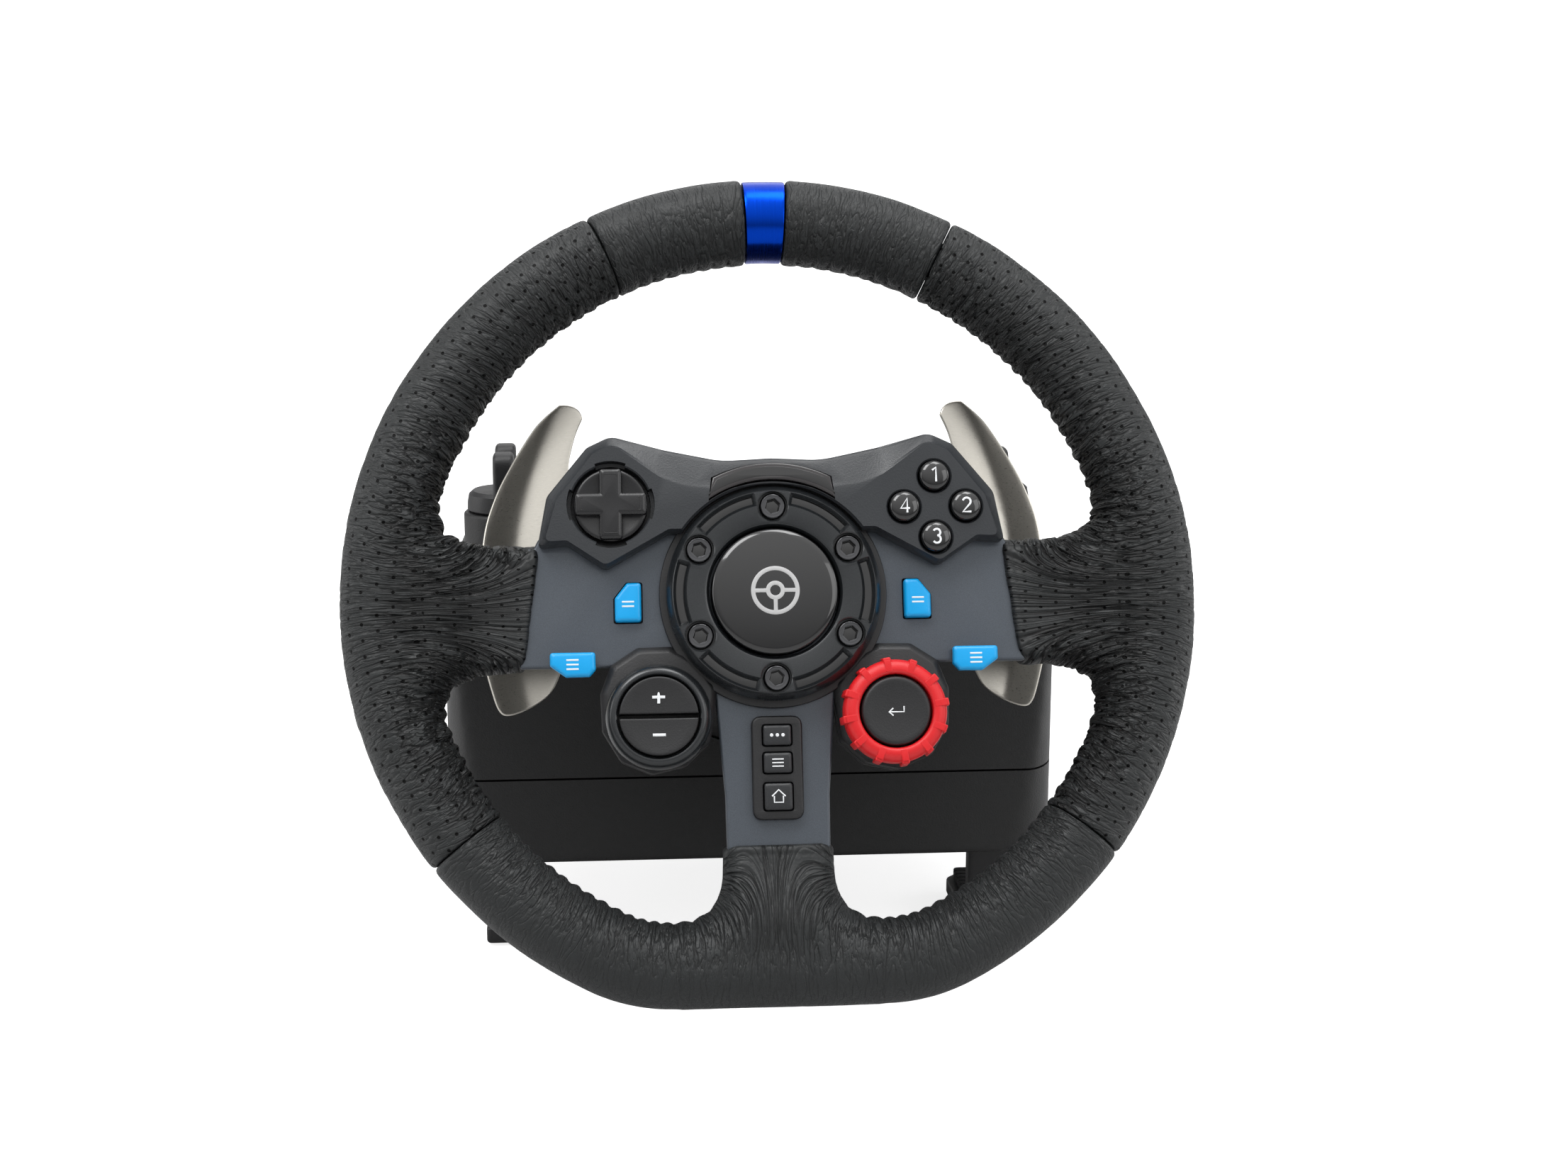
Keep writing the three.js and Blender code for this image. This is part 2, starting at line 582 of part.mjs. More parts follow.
function shiftPaddle(sign) {
  const blade = [[59.5, 53], [56.6, 60.5], [57.6, 63.2], [63.8, 65], [72.5, 57.3], [79, 46.9], [84.5, 37],
    [88.6, 23.5], [89.6, 2], [88.6, -14], [86.6, -23], [84, -30.6], [80.3, -32.4], [72.5, -29.6],
    [66.3, -24], [62, -PADDLE_HALF], [30, -PADDLE_HALF], [30, PADDLE_HALF], [44, 15], [56, 28], [61.5, 42]];
  const plate = slab(onSide(blade, sign), PADDLE_LEVEL - 1, PADDLE_LEVEL + 1, { bevel: 0.4 });
  const x = sign * PADDLE_PIVOT_X;
  const inner = Math.min(x, sign * 32);
  const outer = Math.max(x, sign * 32);
  const arm = block([inner, -PADDLE_HALF, PADDLE_LEVEL - 1], [outer, PADDLE_HALF, PADDLE_LEVEL + 1]);
  const barrel = alongY(3, -17, 17, x, PADDLE_LEVEL, 10);
  return cut(join(plate, arm, barrel), alongY(PIN_RADIUS + GAP, -18, 18, x, PADDLE_LEVEL, 8));
}

function buildControls() {
  addPiece(wheel, 'dpad_pivot', 'white_nylon', post(1.9, 1.5, 9.5, ...PAD_PLACE));
  addPiece(wheel, 'dpad', 'black_plastic', directionPad());
  faceButtonPlaces().forEach(([x, y], index) => {
    const button = turned([[0, 7.7], [4.6, 7.7], [4.6, 14.4], [3.4, 15.2], [0, 15.5]], 12);
    addPiece(wheel, `face_button_${index + 1}`, 'gloss_black', button.translate(x, y, 0));
  });
  for (const { side, sign } of sides) {
    addPiece(wheel, `blue_button_upper_${side}`, 'bright_blue', blueUpper(sign));
    addPiece(wheel, `blue_button_lower_${side}`, 'bright_blue', blueLower(sign));
    addPiece(wheel, `shift_paddle_${side}`, 'brushed_steel', shiftPaddle(sign));
  }
  addPiece(wheel, 'plus_button', 'black_plastic', halfDiscButton(1));
  addPiece(wheel, 'minus_button', 'black_plastic', halfDiscButton(-1));
  addPiece(wheel, 'selector_dial', 'bright_red', selectorDial());
  addPiece(wheel, 'enter_button', 'black_plastic', join(
    turned([[0, 11], [10.4, 11], [10.4, 16.4], [9.8, 17], [0, 17]], 20),
    post(3, 4, 12),
  ).translate(...POD_PLACE, 0));

  const bezelOutline = roundedBox(15.2, 30.9, 3, 0, KEY_STRIP_Y);
  const bezelBody = slab(bezelOutline, PLATE_FRONT + GAP, 9.2, { bevel: 0.8, segments: 1 });
  const keyHoles = KEYS.map(({ y, height }) => {
    const hole = roundedBox(KEY_WIDTH + 0.8, height + 0.8, 1, 0, y);
    return slab(hole, 0, THROUGH, { segments: 1 });
  });
  addPiece(wheel, 'key_bezel', 'black_plastic', cut(bezelBody, ...keyHoles));
  for (const { name, y, height } of KEYS) {
    const key = roundedBox(KEY_WIDTH, height, 0.8, 0, y);
    addPiece(wheel, name, 'charcoal_plastic', slab(key, KEY_BACK, 10.6, { bevel: 0.4, segments: 1 }));
  }
}

// ---------------------------------------------------------------- drive
// Outline of an external gear with involute flanks.
function gearOutline(teeth) {
  const pitch = GEAR_MODULE * teeth / 2;
  const baseCircle = pitch * Math.cos(radians(PRESSURE_ANGLE));
  const tip = pitch + 0.8 * GEAR_MODULE;
  const foot = pitch - 1.1 * GEAR_MODULE;
  const involute = (radius) => {
    const roll = Math.sqrt(Math.max(0, (radius / baseCircle) ** 2 - 1));
    return roll - Math.atan(roll);
  };
  const halfTooth = (Math.PI / 2) / teeth - BACKLASH / (2 * pitch);
  const halfWidth = (radius) => halfTooth + involute(pitch) - involute(radius);
  const points = [];
  for (let tooth = 0; tooth < teeth; tooth += 1) {
    const middle = tooth * 2 * Math.PI / teeth;
    const corners = [[foot, -1], [tip, -1], [tip, 1], [foot, 1]];
    for (const [radius, side] of corners) {
      const angle = middle + side * halfWidth(radius);
      points.push(new THREE.Vector2(radius * Math.cos(angle), radius * Math.sin(angle)));
    }
  }
  return new THREE.Shape(points);
}

// Cast frame: a plate for each bearing, two rails between them and legs down to the shell floor.
function gearboxFrame() {
  const halfSpan = 68;
  const railInner = 62.5;
  const plates = [FRAME_FRONT - FRAME_PLATE, FRAME_BACK].map((low) => join(
    post(23, low, low + FRAME_PLATE, 0, 0, 16),
    block([-halfSpan, -30, low], [halfSpan, 8, low + FRAME_PLATE]),
  ));
  const rails = sides.map(({ sign }) => {
    const low = sign > 0 ? railInner : -halfSpan;
    return block([low, -30, FRAME_BACK + 1], [low + halfSpan - railInner, -24, FRAME_FRONT - 1]);
  });
  const seat = BEARING_RADIUS + 0.4;
  const bores = [FRAME_FRONT - 4, FRAME_BACK + 4].map((level) => post(seat, level - 5, level + 5, 0, 0, 16));
  for (const side of ['left', 'right']) {
    const [x, y] = polar(CENTRE_DISTANCE, MOTOR_ANGLES[side]);
    bores.push(post(MOTOR_RADIUS + 0.8, FRAME_BACK - 1, FRAME_BACK + FRAME_PLATE + 1, x, y, 16));
    bores.push(post(5, FRAME_FRONT - FRAME_PLATE - 1, FRAME_FRONT + 1, x, y));
  }
  const legs = sides.map(({ sign }) => {
    const low = sign > 0 ? railInner : -halfSpan;
    return block([low, -8, FOOT_HEIGHT + SHELL_WALL + GAP], [low + halfSpan - railInner, 2, 41]);
  });
  return join(onBase(cut(join(...plates, ...rails), ...bores)), ...legs);
}

function buildMotor(side) {
  const [x, y] = polar(CENTRE_DISTANCE, MOTOR_ANGLES[side]);
  const front = GEAR_BACK - 4;
  const back = front - MOTOR_LENGTH;
  const chamfer = 2;
  const can = turned([[0, back], [MOTOR_RADIUS - chamfer, back], [MOTOR_RADIUS, back + chamfer],
    [MOTOR_RADIUS, front], [0, front]], 16);
  const bore = post(ROTOR_RADIUS + 0.5, back - 1, front + 1);
  addPiece(wheel, `motor_${side}`, 'steel', cut(can, bore).translate(x, y, 0));

  // Turn the pinion so a tooth gap faces the gear tooth that points at it.
  const phase = MOTOR_ANGLES[side];
  const gearTooth = (phase / 360 * GEAR_TEETH) % 1;
  const turn = phase + 180 + (0.5 + gearTooth) * 360 / PINION_TEETH;
  const pinion = slab(gearOutline(PINION_TEETH), GEAR_BACK - 0.5, GEAR_FRONT + 0.5).rotateZ(radians(turn));
  addPiece(wheel, `motor_pinion_${side}`, 'steel',
    join(pinion, post(ROTOR_RADIUS, back + 6, FRAME_FRONT - 1)).translate(x, y, 0));
}

function buildDrive() {
  const flangeFront = -CORE_HALF - GAP;
  const flange = 31;
  const bore = 6;
  const shaft = turned([[bore, SHAFT_END], [SHAFT_RADIUS, SHAFT_END], [SHAFT_RADIUS, -14], [12, FLANGE_BACK],
    [flange, FLANGE_BACK], [flange, flangeFront], [bore, flangeFront], [bore, SHAFT_END]], 16);
  const threads = boltPlaces.map(([x, y]) => post(2.7, -THROUGH, 0, x, y));
  addPiece(wheel, 'steering_shaft', 'steel', cut(shaft, ...threads));
  const running = SHAFT_RADIUS + GAP;
  const gearBore = post(running, GEAR_BACK - 1, GEAR_FRONT + 1, 0, 0, 16);
  addPiece(wheel, 'steering_gear', 'white_nylon',
    cut(slab(gearOutline(GEAR_TEETH), GEAR_BACK, GEAR_FRONT), gearBore));
  addPiece(wheel, 'bearing_front', 'steel',
    ring(running, BEARING_RADIUS, FRAME_FRONT - BEARING_WIDTH, FRAME_FRONT, 16));
  addPiece(wheel, 'bearing_rear', 'steel',
    ring(running, BEARING_RADIUS, FRAME_BACK, FRAME_BACK + BEARING_WIDTH, 16));
  addPiece(root, 'gearbox_frame', 'cast_alloy', gearboxFrame());
  buildMotor('left');
  buildMotor('right');
  const inside = COLUMN_RADIUS - SHELL_WALL;
  const shroud = [[14, -30], [14, -32.5], [26, -34], [inside, -76], [inside, SHROUD_END],
    [COLUMN_RADIUS, SHROUD_END], [COLUMN_RADIUS, -76], [29, -33], [26, -30], [14, -30]];
  addPiece(wheel, 'column_shroud', 'black_plastic', turned(shroud, 24));
}

// ---------------------------------------------------------------- base
// Side view of the base, listed as [y, z], drawn in by an inset.
function sideView(inset) {
  const front = BASE_FRONT + inset;
  const back = BASE_BACK - inset;
  const top = BASE_TOP - inset;
  const floor = FOOT_HEIGHT + inset;
  const shape = new THREE.Shape();
  shape.moveTo(front, floor);
  shape.lineTo(back, floor);
  shape.lineTo(back, 46);
  shape.quadraticCurveTo(back, 84 - inset, 68, 96 - inset);
  shape.quadraticCurveTo(20, top, -4, top);
  shape.quadraticCurveTo(front + 12, top, front + 9, 88);
  return shape;
}

function planView(inset) {
  const half = BASE_WIDTH / 2 - inset;
  const shape = new THREE.Shape();
  const front = BASE_FRONT + inset;
  const back = BASE_BACK - inset;
  shape.moveTo(-half + 22, front);
  shape.lineTo(half - 22, front);
  shape.quadraticCurveTo(half, front, half, front + 26);
  shape.quadraticCurveTo(half - 2, 50, half - 22, back - 24);
  shape.quadraticCurveTo(half - 30, back, half - 52, back);
  shape.lineTo(-half + 52, back);
  shape.quadraticCurveTo(-half + 30, back, -half + 22, back - 24);
  shape.quadraticCurveTo(-half + 2, 50, -half, front + 26);
  shape.quadraticCurveTo(-half, front, -half + 22, front);
  return shape;
}

function frontView(inset) {
  const half = BASE_WIDTH / 2 - inset;
  const top = BASE_TOP - inset;
  const shape = new THREE.Shape();
  shape.moveTo(-half, FOOT_HEIGHT + inset);
  shape.lineTo(half, FOOT_HEIGHT + inset);
  shape.lineTo(half, 80);
  shape.quadraticCurveTo(half, top, half - 44, top);
  shape.lineTo(-half + 44, top);
  shape.quadraticCurveTo(-half, top, -half, 80);
  return shape;
}

const X = new THREE.Vector3(1, 0, 0);
const Y = new THREE.Vector3(0, 1, 0);
const Z = new THREE.Vector3(0, 0, 1);
// Stand a flat outline up so that it is seen from the side, or from the front.
const SIDE_ON = new THREE.Matrix4().makeBasis(Y, Z, X);
const FACE_ON = new THREE.Matrix4().makeBasis(X, Z, Y.clone().negate());

function baseBody(inset) {
  const reach = 120;
  const side = slab(sideView(inset), -reach, reach, { segments: 5 }).applyMatrix4(SIDE_ON);
  const plan = slab(planView(inset), -10, 140, { segments: 3 });
  const front = slab(frontView(inset), -reach, reach, { segments: 5 }).applyMatrix4(FACE_ON);
  return overlapOf(side, plan, front);
}

// Clamp arm: an upright guided in the base, a foot that reaches under the table, and a lug
// that rides on the clamp screw.
function clampArm(sign) {
  const low = sign * CLAMP_REACH - CLAMP_HALF;
  const high = low + 2 * CLAMP_HALF;
  const leg = block([low, CLAMP_LEG[0], CLAMP_FOOT], [high, CLAMP_LEG[1], 46]);
  const foot = block([low - 2, CLAMP_LEG[0], CLAMP_FOOT], [high + 2, 8, CLAMP_FOOT + 6]);
  const lug = block([low, CLAMP_LEG[1] - 2, 34], [high, CLAMP_Y + 8, 46]);
  return cut(join(leg, foot, lug), post(3.4, 30, 50, sign * CLAMP_REACH, CLAMP_Y, 10));
}

function clampKnob(sign) {
  const x = sign * CLAMP_REACH;
  const seat = KNOB_SEAT;
  const boss = turned([[0, seat], [13, seat], [12, seat + 7], [0, seat + 7]], 16).translate(x, CLAMP_Y, 0);
  const wing = slab(roundedBox(30, 18, 5), -3.5, 3.5, { bevel: 1, segments: 1 }).applyMatrix4(SIDE_ON);
  wing.translate(x, CLAMP_Y, seat + 12);
  return join(boss, wing, post(3, 16, seat + 2, x, CLAMP_Y, 10));
}

function baseShells() {
  const shell = cut(baseBody(0), baseBody(SHELL_WALL));
  const half = 0.15;
  const columnHole = onBase(post(COLUMN_RADIUS + 0.8, SHROUD_END - 2, -40, 0, 0, 24));
  const seats = sides.map(({ sign }) => post(14.5, 96, KNOB_SEAT - GAP, sign * CLAMP_REACH, CLAMP_Y, 16));
  const screwHoles = sides.map(({ sign }) => post(3.6, 80, 130, sign * CLAMP_REACH, CLAMP_Y, 10));
  const legSlots = sides.map(({ sign }) => {
    const low = sign * CLAMP_REACH - CLAMP_HALF - 0.5;
    return block([low, CLAMP_LEG[0] - 0.5, -20], [low + 2 * CLAMP_HALF + 1, CLAMP_LEG[1] + 0.5, 20]);
  });
  const belowSeam = block([-130, -90, -20], [130, 130, BASE_SEAM + half]);
  const upper = cut(join(shell, ...seats), belowSeam, columnHole, ...screwHoles);
  const rigHoles = sides.map(({ sign }) => post(3, -5, 20, sign * RIG_HOLE[0], RIG_HOLE[1], 10));
  const aboveSeam = block([-130, -90, BASE_SEAM - half], [130, 130, 140]);
  const lower = cut(shell, aboveSeam, columnHole, ...legSlots, ...rigHoles);
  return { upper, lower };
}

function buildBase() {
  const { upper, lower } = baseShells();
  addPiece(root, 'base_shell_upper', 'black_plastic', upper);
  addPiece(root, 'base_shell_lower', 'black_plastic', lower);
  for (const { side, sign } of sides) {
    addPiece(root, `clamp_arm_${side}`, 'black_plastic', clampArm(sign));
    addPiece(root, `clamp_pad_${side}`, 'rubber',
      block([sign * CLAMP_REACH - 7, -27, CLAMP_FOOT + 6], [sign * CLAMP_REACH + 7, 6, CLAMP_FOOT + 9]));
    addPiece(root, `clamp_knob_${side}`, 'black_plastic', clampKnob(sign));
  }
  addPiece(root, 'main_board', 'circuit_board', block([-50, 40, 8], [50, 92, 9.6]));
  addPiece(root, 'rubber_foot', 'rubber',
    cut(block([-62, -8, 0], [62, 92, FOOT_HEIGHT]), block([-50, 8, -1], [50, 80, FOOT_HEIGHT + 1])));
}

buildRim();
buildHub();
buildControls();
buildDrive();
buildBase();

export default root;
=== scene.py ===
"""Looks of the racing wheel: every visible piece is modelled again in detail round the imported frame."""
import json
import math

import bmesh
import bpy
import numpy as np
from mathutils import Matrix, Vector

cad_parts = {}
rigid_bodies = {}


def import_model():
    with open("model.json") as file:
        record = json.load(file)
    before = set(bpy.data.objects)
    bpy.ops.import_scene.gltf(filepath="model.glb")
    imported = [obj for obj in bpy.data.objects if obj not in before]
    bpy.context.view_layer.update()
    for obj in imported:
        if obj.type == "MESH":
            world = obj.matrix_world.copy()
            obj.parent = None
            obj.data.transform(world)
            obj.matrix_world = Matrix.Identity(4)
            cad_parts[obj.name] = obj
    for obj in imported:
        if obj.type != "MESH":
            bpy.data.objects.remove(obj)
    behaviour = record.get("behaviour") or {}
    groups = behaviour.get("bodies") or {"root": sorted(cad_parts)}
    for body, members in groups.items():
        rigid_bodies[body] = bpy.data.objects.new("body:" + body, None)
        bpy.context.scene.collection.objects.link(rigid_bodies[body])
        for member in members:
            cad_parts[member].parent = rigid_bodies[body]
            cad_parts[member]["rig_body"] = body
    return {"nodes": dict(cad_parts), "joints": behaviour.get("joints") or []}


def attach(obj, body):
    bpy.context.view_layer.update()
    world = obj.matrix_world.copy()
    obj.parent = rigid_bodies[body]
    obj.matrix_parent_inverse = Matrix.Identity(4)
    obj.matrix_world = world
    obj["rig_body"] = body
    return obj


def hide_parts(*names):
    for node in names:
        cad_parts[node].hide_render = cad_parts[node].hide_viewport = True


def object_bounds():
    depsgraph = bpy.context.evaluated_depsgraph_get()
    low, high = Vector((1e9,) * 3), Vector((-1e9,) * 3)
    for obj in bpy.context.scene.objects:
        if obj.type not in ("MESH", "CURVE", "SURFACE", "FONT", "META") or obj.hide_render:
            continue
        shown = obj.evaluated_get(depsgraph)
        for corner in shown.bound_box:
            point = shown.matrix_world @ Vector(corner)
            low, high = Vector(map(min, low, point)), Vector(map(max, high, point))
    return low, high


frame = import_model()
cad_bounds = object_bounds()

# ------------------------------------------------------------------ the wheel's own frame
# Wheel pieces are drawn in millimetres with +Z up the steering axis and +Y up the rim.
MM = 0.001
steering = next(joint for joint in frame["joints"] if joint["name"] == "steering")
OUT = Vector(steering["axis"]).normalized()
RIGHT = Vector((1, 0, 0))
UP = OUT.cross(RIGHT)
AXES = Matrix((RIGHT, UP, OUT)).transposed().to_4x4()
WHEEL = Matrix.Translation(steering["pos_m"]) @ AXES @ Matrix.Scale(MM, 4)
TABLE = Matrix.Scale(MM, 4)


def local_box(node, space=WHEEL):
    """Lowest and highest corner of a CAD node in the wheel's own frame, in millimetres."""
    inverse = space.inverted()
    corners = np.array([inverse @ vertex.co for vertex in frame["nodes"][node].data.vertices])
    return Vector(corners.min(0)), Vector(corners.max(0))


def middle(node, space=WHEEL):
    low, high = local_box(node, space)
    return (low + high) / 2


rim_low, rim_high = local_box("grip_left")
RIM_RADIUS = -rim_low.x
GRIP_DEPTH = rim_high.z - rim_low.z
FLAT_BOTTOM = -local_box("grip_bottom")[0].y
GRIP_WIDTH = 26
FLAT_CORNER = 45
GRIP_CENTRE = RIM_RADIUS - GRIP_WIDTH / 2
FLAT_CENTRE = FLAT_BOTTOM - GRIP_WIDTH / 2


# ------------------------------------------------------------------ node materials
class Paint:
    """A small helper that wires one procedural material."""

    def __init__(self, name, color, roughness, metallic=0.0, **more):
        self.material = bpy.data.materials.new(name)
        self.material.use_nodes = True
        self.material.diffuse_color = (*color, 1)
        self.nodes = self.material.node_tree.nodes
        self.links = self.material.node_tree.links
        self.shader = self.nodes["Principled BSDF"]
        self.set("Base Color", (*color, 1))
        self.set("Roughness", roughness)
        self.set("Metallic", metallic)
        for key, value in more.items():
            self.set(key.replace("_", " "), value)
        self.normal = None

    def set(self, socket, value):
        if hasattr(value, "links"):
            self.links.new(value, self.shader.inputs[socket])
        else:
            self.shader.inputs[socket].default_value = value

    def add(self, kind, **inputs):
        node = self.nodes.new(kind)
        for key, value in inputs.items():
            socket = node.inputs[key.replace("_", " ")]
            if hasattr(value, "links"):
                self.links.new(value, socket)
            else:
                socket.default_value = value
        return node

    def place(self, scale=(1, 1, 1), source="Object"):
        """Texture coordinates in metres, or along the leather, stretched by a scale."""
        coordinates = self.nodes.new("ShaderNodeTexCoord")
        mapping = self.add("ShaderNodeMapping", Vector=coordinates.outputs[source], Scale=scale)
        return mapping.outputs["Vector"]

    def noise(self, scale, detail=3.0, stretch=(1, 1, 1), source="Object", roughness=0.55):
        vector = self.place(stretch, source)
        node = self.add("ShaderNodeTexNoise", Vector=vector, Scale=scale, Detail=detail, Roughness=roughness)
        return node.outputs["Fac"]

    def cells(self, scale, stretch=(1, 1, 1), source="Object"):
        node = self.add("ShaderNodeTexVoronoi", Vector=self.place(stretch, source), Scale=scale)
        return node.outputs["Distance"]

    def math(self, operation, first, second=0.0):
        node = self.nodes.new("ShaderNodeMath")
        node.operation = operation
        for socket, value in zip(node.inputs, (first, second)):
            if hasattr(value, "links"):
                self.links.new(value, socket)
            else:
                socket.default_value = value
        return node.outputs["Value"]

    def range(self, value, low, high, to_low, to_high):
        node = self.add("ShaderNodeMapRange", Value=value, To_Min=to_low, To_Max=to_high)
        node.inputs["From Min"].default_value = low
        node.inputs["From Max"].default_value = high
        return node.outputs["Result"]

    def bump(self, height, distance, strength=1.0):
        node = self.add("ShaderNodeBump", Height=height, Distance=distance, Strength=strength)
        if self.normal is not None:
            self.links.new(self.normal, node.inputs["Normal"])
        self.normal = node.outputs["Normal"]
        self.links.new(self.normal, self.shader.inputs["Normal"])

    def blend(self, factor, first, second):
        """Mix two colours, each a triple or another node's colour."""
        node = self.nodes.new("ShaderNodeMix")
        node.data_type = "RGBA"
        self.links.new(factor, node.inputs["Factor"])
        for socket, color in ((node.inputs[6], first), (node.inputs[7], second)):
            if hasattr(color, "links"):
                self.links.new(color, socket)
            else:
                socket.default_value = (*color, 1)
        return node.outputs[2]

    def uv(self, layer):
        node = self.nodes.new("ShaderNodeUVMap")
        node.uv_map = layer
        return node.outputs["UV"]

    def attribute(self, name):
        node = self.nodes.new("ShaderNodeAttribute")
        node.attribute_name = name
        return node.outputs["Fac"]

    def valleys(self, layer, scale, sharpness):
        """Thin valleys between rounded folds, from 0 on a crest to -1 in a valley."""
        mapping = self.add("ShaderNodeMapping", Vector=self.uv(layer), Scale=scale)
        noise = self.add("ShaderNodeTexNoise", Vector=mapping.outputs["Vector"], Scale=1.0, Detail=1.5,
                         Roughness=0.5, Distortion=0.35).outputs["Fac"]
        ridge = self.math("ABSOLUTE", self.math("SUBTRACT", noise, 0.5))
        near = self.math("SUBTRACT", 1.0, self.math("MULTIPLY", ridge, 9.0))
        return self.math("MULTIPLY", self.math("POWER", self.math("MAXIMUM", near, 0.0), sharpness), -1.0)


def leather_paint(name, perforated):
    """Black hide: pebbled grain, creases that follow the folds, their valleys darkened as painted shade, and,
    on the side grips, punched holes painted near-black inside as painted shade.
    """
    paint = Paint(name, (0.012, 0.013, 0.014), 0.55, Specular_IOR_Level=0.38)
    pebbles = paint.cells(1100)
    fine = paint.noise(2600, 2)
    height = paint.math("ADD", paint.math("MULTIPLY", pebbles, 0.5), paint.math("MULTIPLY", fine, 0.2))
    paint.bump(height, 0.00016, 0.7)
    strength = paint.attribute("crease")
    wide = paint.valleys("creases", (0.50, 0.13, 1), 1.6)
    narrow = paint.valleys("creases", (1.1, 0.32, 1), 2.4)
    both = paint.math("ADD", wide, paint.math("MULTIPLY", narrow, 0.34))
    creases = paint.math("MULTIPLY", both, strength)
    paint.bump(creases, 0.0017)
    wear = paint.noise(38, 4)
    # Painted shade: the base colour darkens towards the crease valleys, and darkens more where the crease
    # strength is higher.
    tone = paint.blend(paint.range(creases, -0.6, 0.0, 0.0, 1.0), (0.0038, 0.0042, 0.0044),
                       (0.0135, 0.0152, 0.0158))
    paint.set("Base Color", tone)
    sheen = paint.math("ADD", wear, paint.math("MULTIPLY", pebbles, 0.4))
    paint.set("Roughness", paint.range(sheen, 0.3, 1.1, 0.40, 0.60))
    if perforated:
        hole = perforation(paint)
        paint.bump(paint.math("MULTIPLY", hole, -1.0), 0.0009)
        # Painted shade: the punched holes are coloured near-black, standing in for the shade down inside
        # them.
        paint.set("Base Color", paint.blend(hole, tone, (0.0005, 0.0005, 0.0005)))
        paint.set("Specular IOR Level", paint.range(hole, 0.0, 1.0, 0.38, 0.1))
    return paint.material


def perforation(paint):
    """Mask of small holes in a staggered grid on the leather's own coordinates, in millimetres."""
    pitch = 4.6
    radius = 0.42
    split = paint.add("ShaderNodeSeparateXYZ", Vector=paint.uv("leather"))
    along = paint.math("DIVIDE", split.outputs["X"], pitch)
    across = paint.math("DIVIDE", split.outputs["Y"], pitch)
    row = paint.math("FLOOR", across)
    shift = paint.math("MULTIPLY", paint.math("MODULO", paint.math("ABSOLUTE", row), 2.0), 0.5)
    x = paint.math("SUBTRACT", paint.math("FRACT", paint.math("ADD", along, shift)), 0.5)
    y = paint.math("SUBTRACT", paint.math("FRACT", across), 0.5)
    reach = paint.math("SQRT", paint.math("ADD", paint.math("MULTIPLY", x, x), paint.math("MULTIPLY", y, y)))
    return paint.range(reach, radius / pitch, radius * 1.35 / pitch, 1.0, 0.0)


def moulded_paint(name, color, roughness, grain=0.00006, wear=0.08):
    """Injection-moulded plastic with a fine spark texture."""
    paint = Paint(name, color, roughness, Specular_IOR_Level=0.45)
    texture = paint.math("ADD", paint.noise(2400, 2), paint.math("MULTIPLY", paint.cells(1500), 0.5))
    paint.bump(texture, grain, 0.7)
    patches = paint.noise(55, 4)
    paint.set("Roughness", paint.range(patches, 0.3, 0.75, roughness - wear, roughness + wear))
    return paint.material


def gloss_paint(name, color, roughness=0.06):
    paint = Paint(name, color, roughness, Coat_Weight=0.6, Coat_Roughness=0.03)
    smudges = paint.noise(70, 5)
    paint.set("Roughness", paint.range(smudges, 0.35, 0.8, roughness, roughness + 0.12))
    return paint.material


def painted_metal(name, color, roughness):
    """Sprayed satin paint with a little metal flake and orange peel."""
    paint = Paint(name, color, roughness, 0.35, Coat_Weight=0.25, Coat_Roughness=0.25)
    flake = paint.cells(5200)
    tint = paint.blend(paint.range(flake, 0.0, 0.6, 1.0, 0.0), color, tuple(1.5 * part for part in color))
    paint.set("Base Color", tint)
    paint.bump(paint.noise(420, 3), 0.00005, 0.5)
    paint.set("Roughness", paint.range(paint.noise(60, 4), 0.3, 0.75, roughness - 0.05, roughness + 0.07))
    return paint.material


def brushed_metal(name, color, roughness, stretch):
    """Metal with fine brush lines along one direction."""
    paint = Paint(name, color, roughness, 1.0, Anisotropic=0.5)
    lines = paint.noise(1, 6, stretch, roughness=0.7)
    paint.bump(lines, 0.000015, 0.6)
    paint.set("Roughness", paint.range(lines, 0.3, 0.7, roughness - 0.04, roughness + 0.05))
    tone = paint.blend(paint.range(lines, 0.35, 0.68, 0.0, 1.0), tuple(0.88 * part for part in color), color)
    paint.set("Base Color", tone)
    return paint.material


def machined_metal(name, color, roughness):
    paint = Paint(name, color, roughness, 1.0)
    paint.bump(paint.noise(700, 4), 0.00004, 0.6)
    paint.set("Roughness", paint.range(paint.noise(90, 4), 0.3, 0.75, roughness - 0.08, roughness + 0.1))
    return paint.material


def board_paint():
    """Green circuit board with brighter copper tracks under the mask."""
    paint = Paint("circuit_board", (0.01, 0.09, 0.035), 0.4)
    tracks = paint.add("ShaderNodeTexBrick", Vector=paint.place((160, 160, 160)), Scale=1.0).outputs["Fac"]
    paint.set("Base Color", paint.blend(tracks, (0.008, 0.075, 0.03), (0.02, 0.17, 0.06)))
    paint.bump(tracks, 0.00004)
    return paint.material


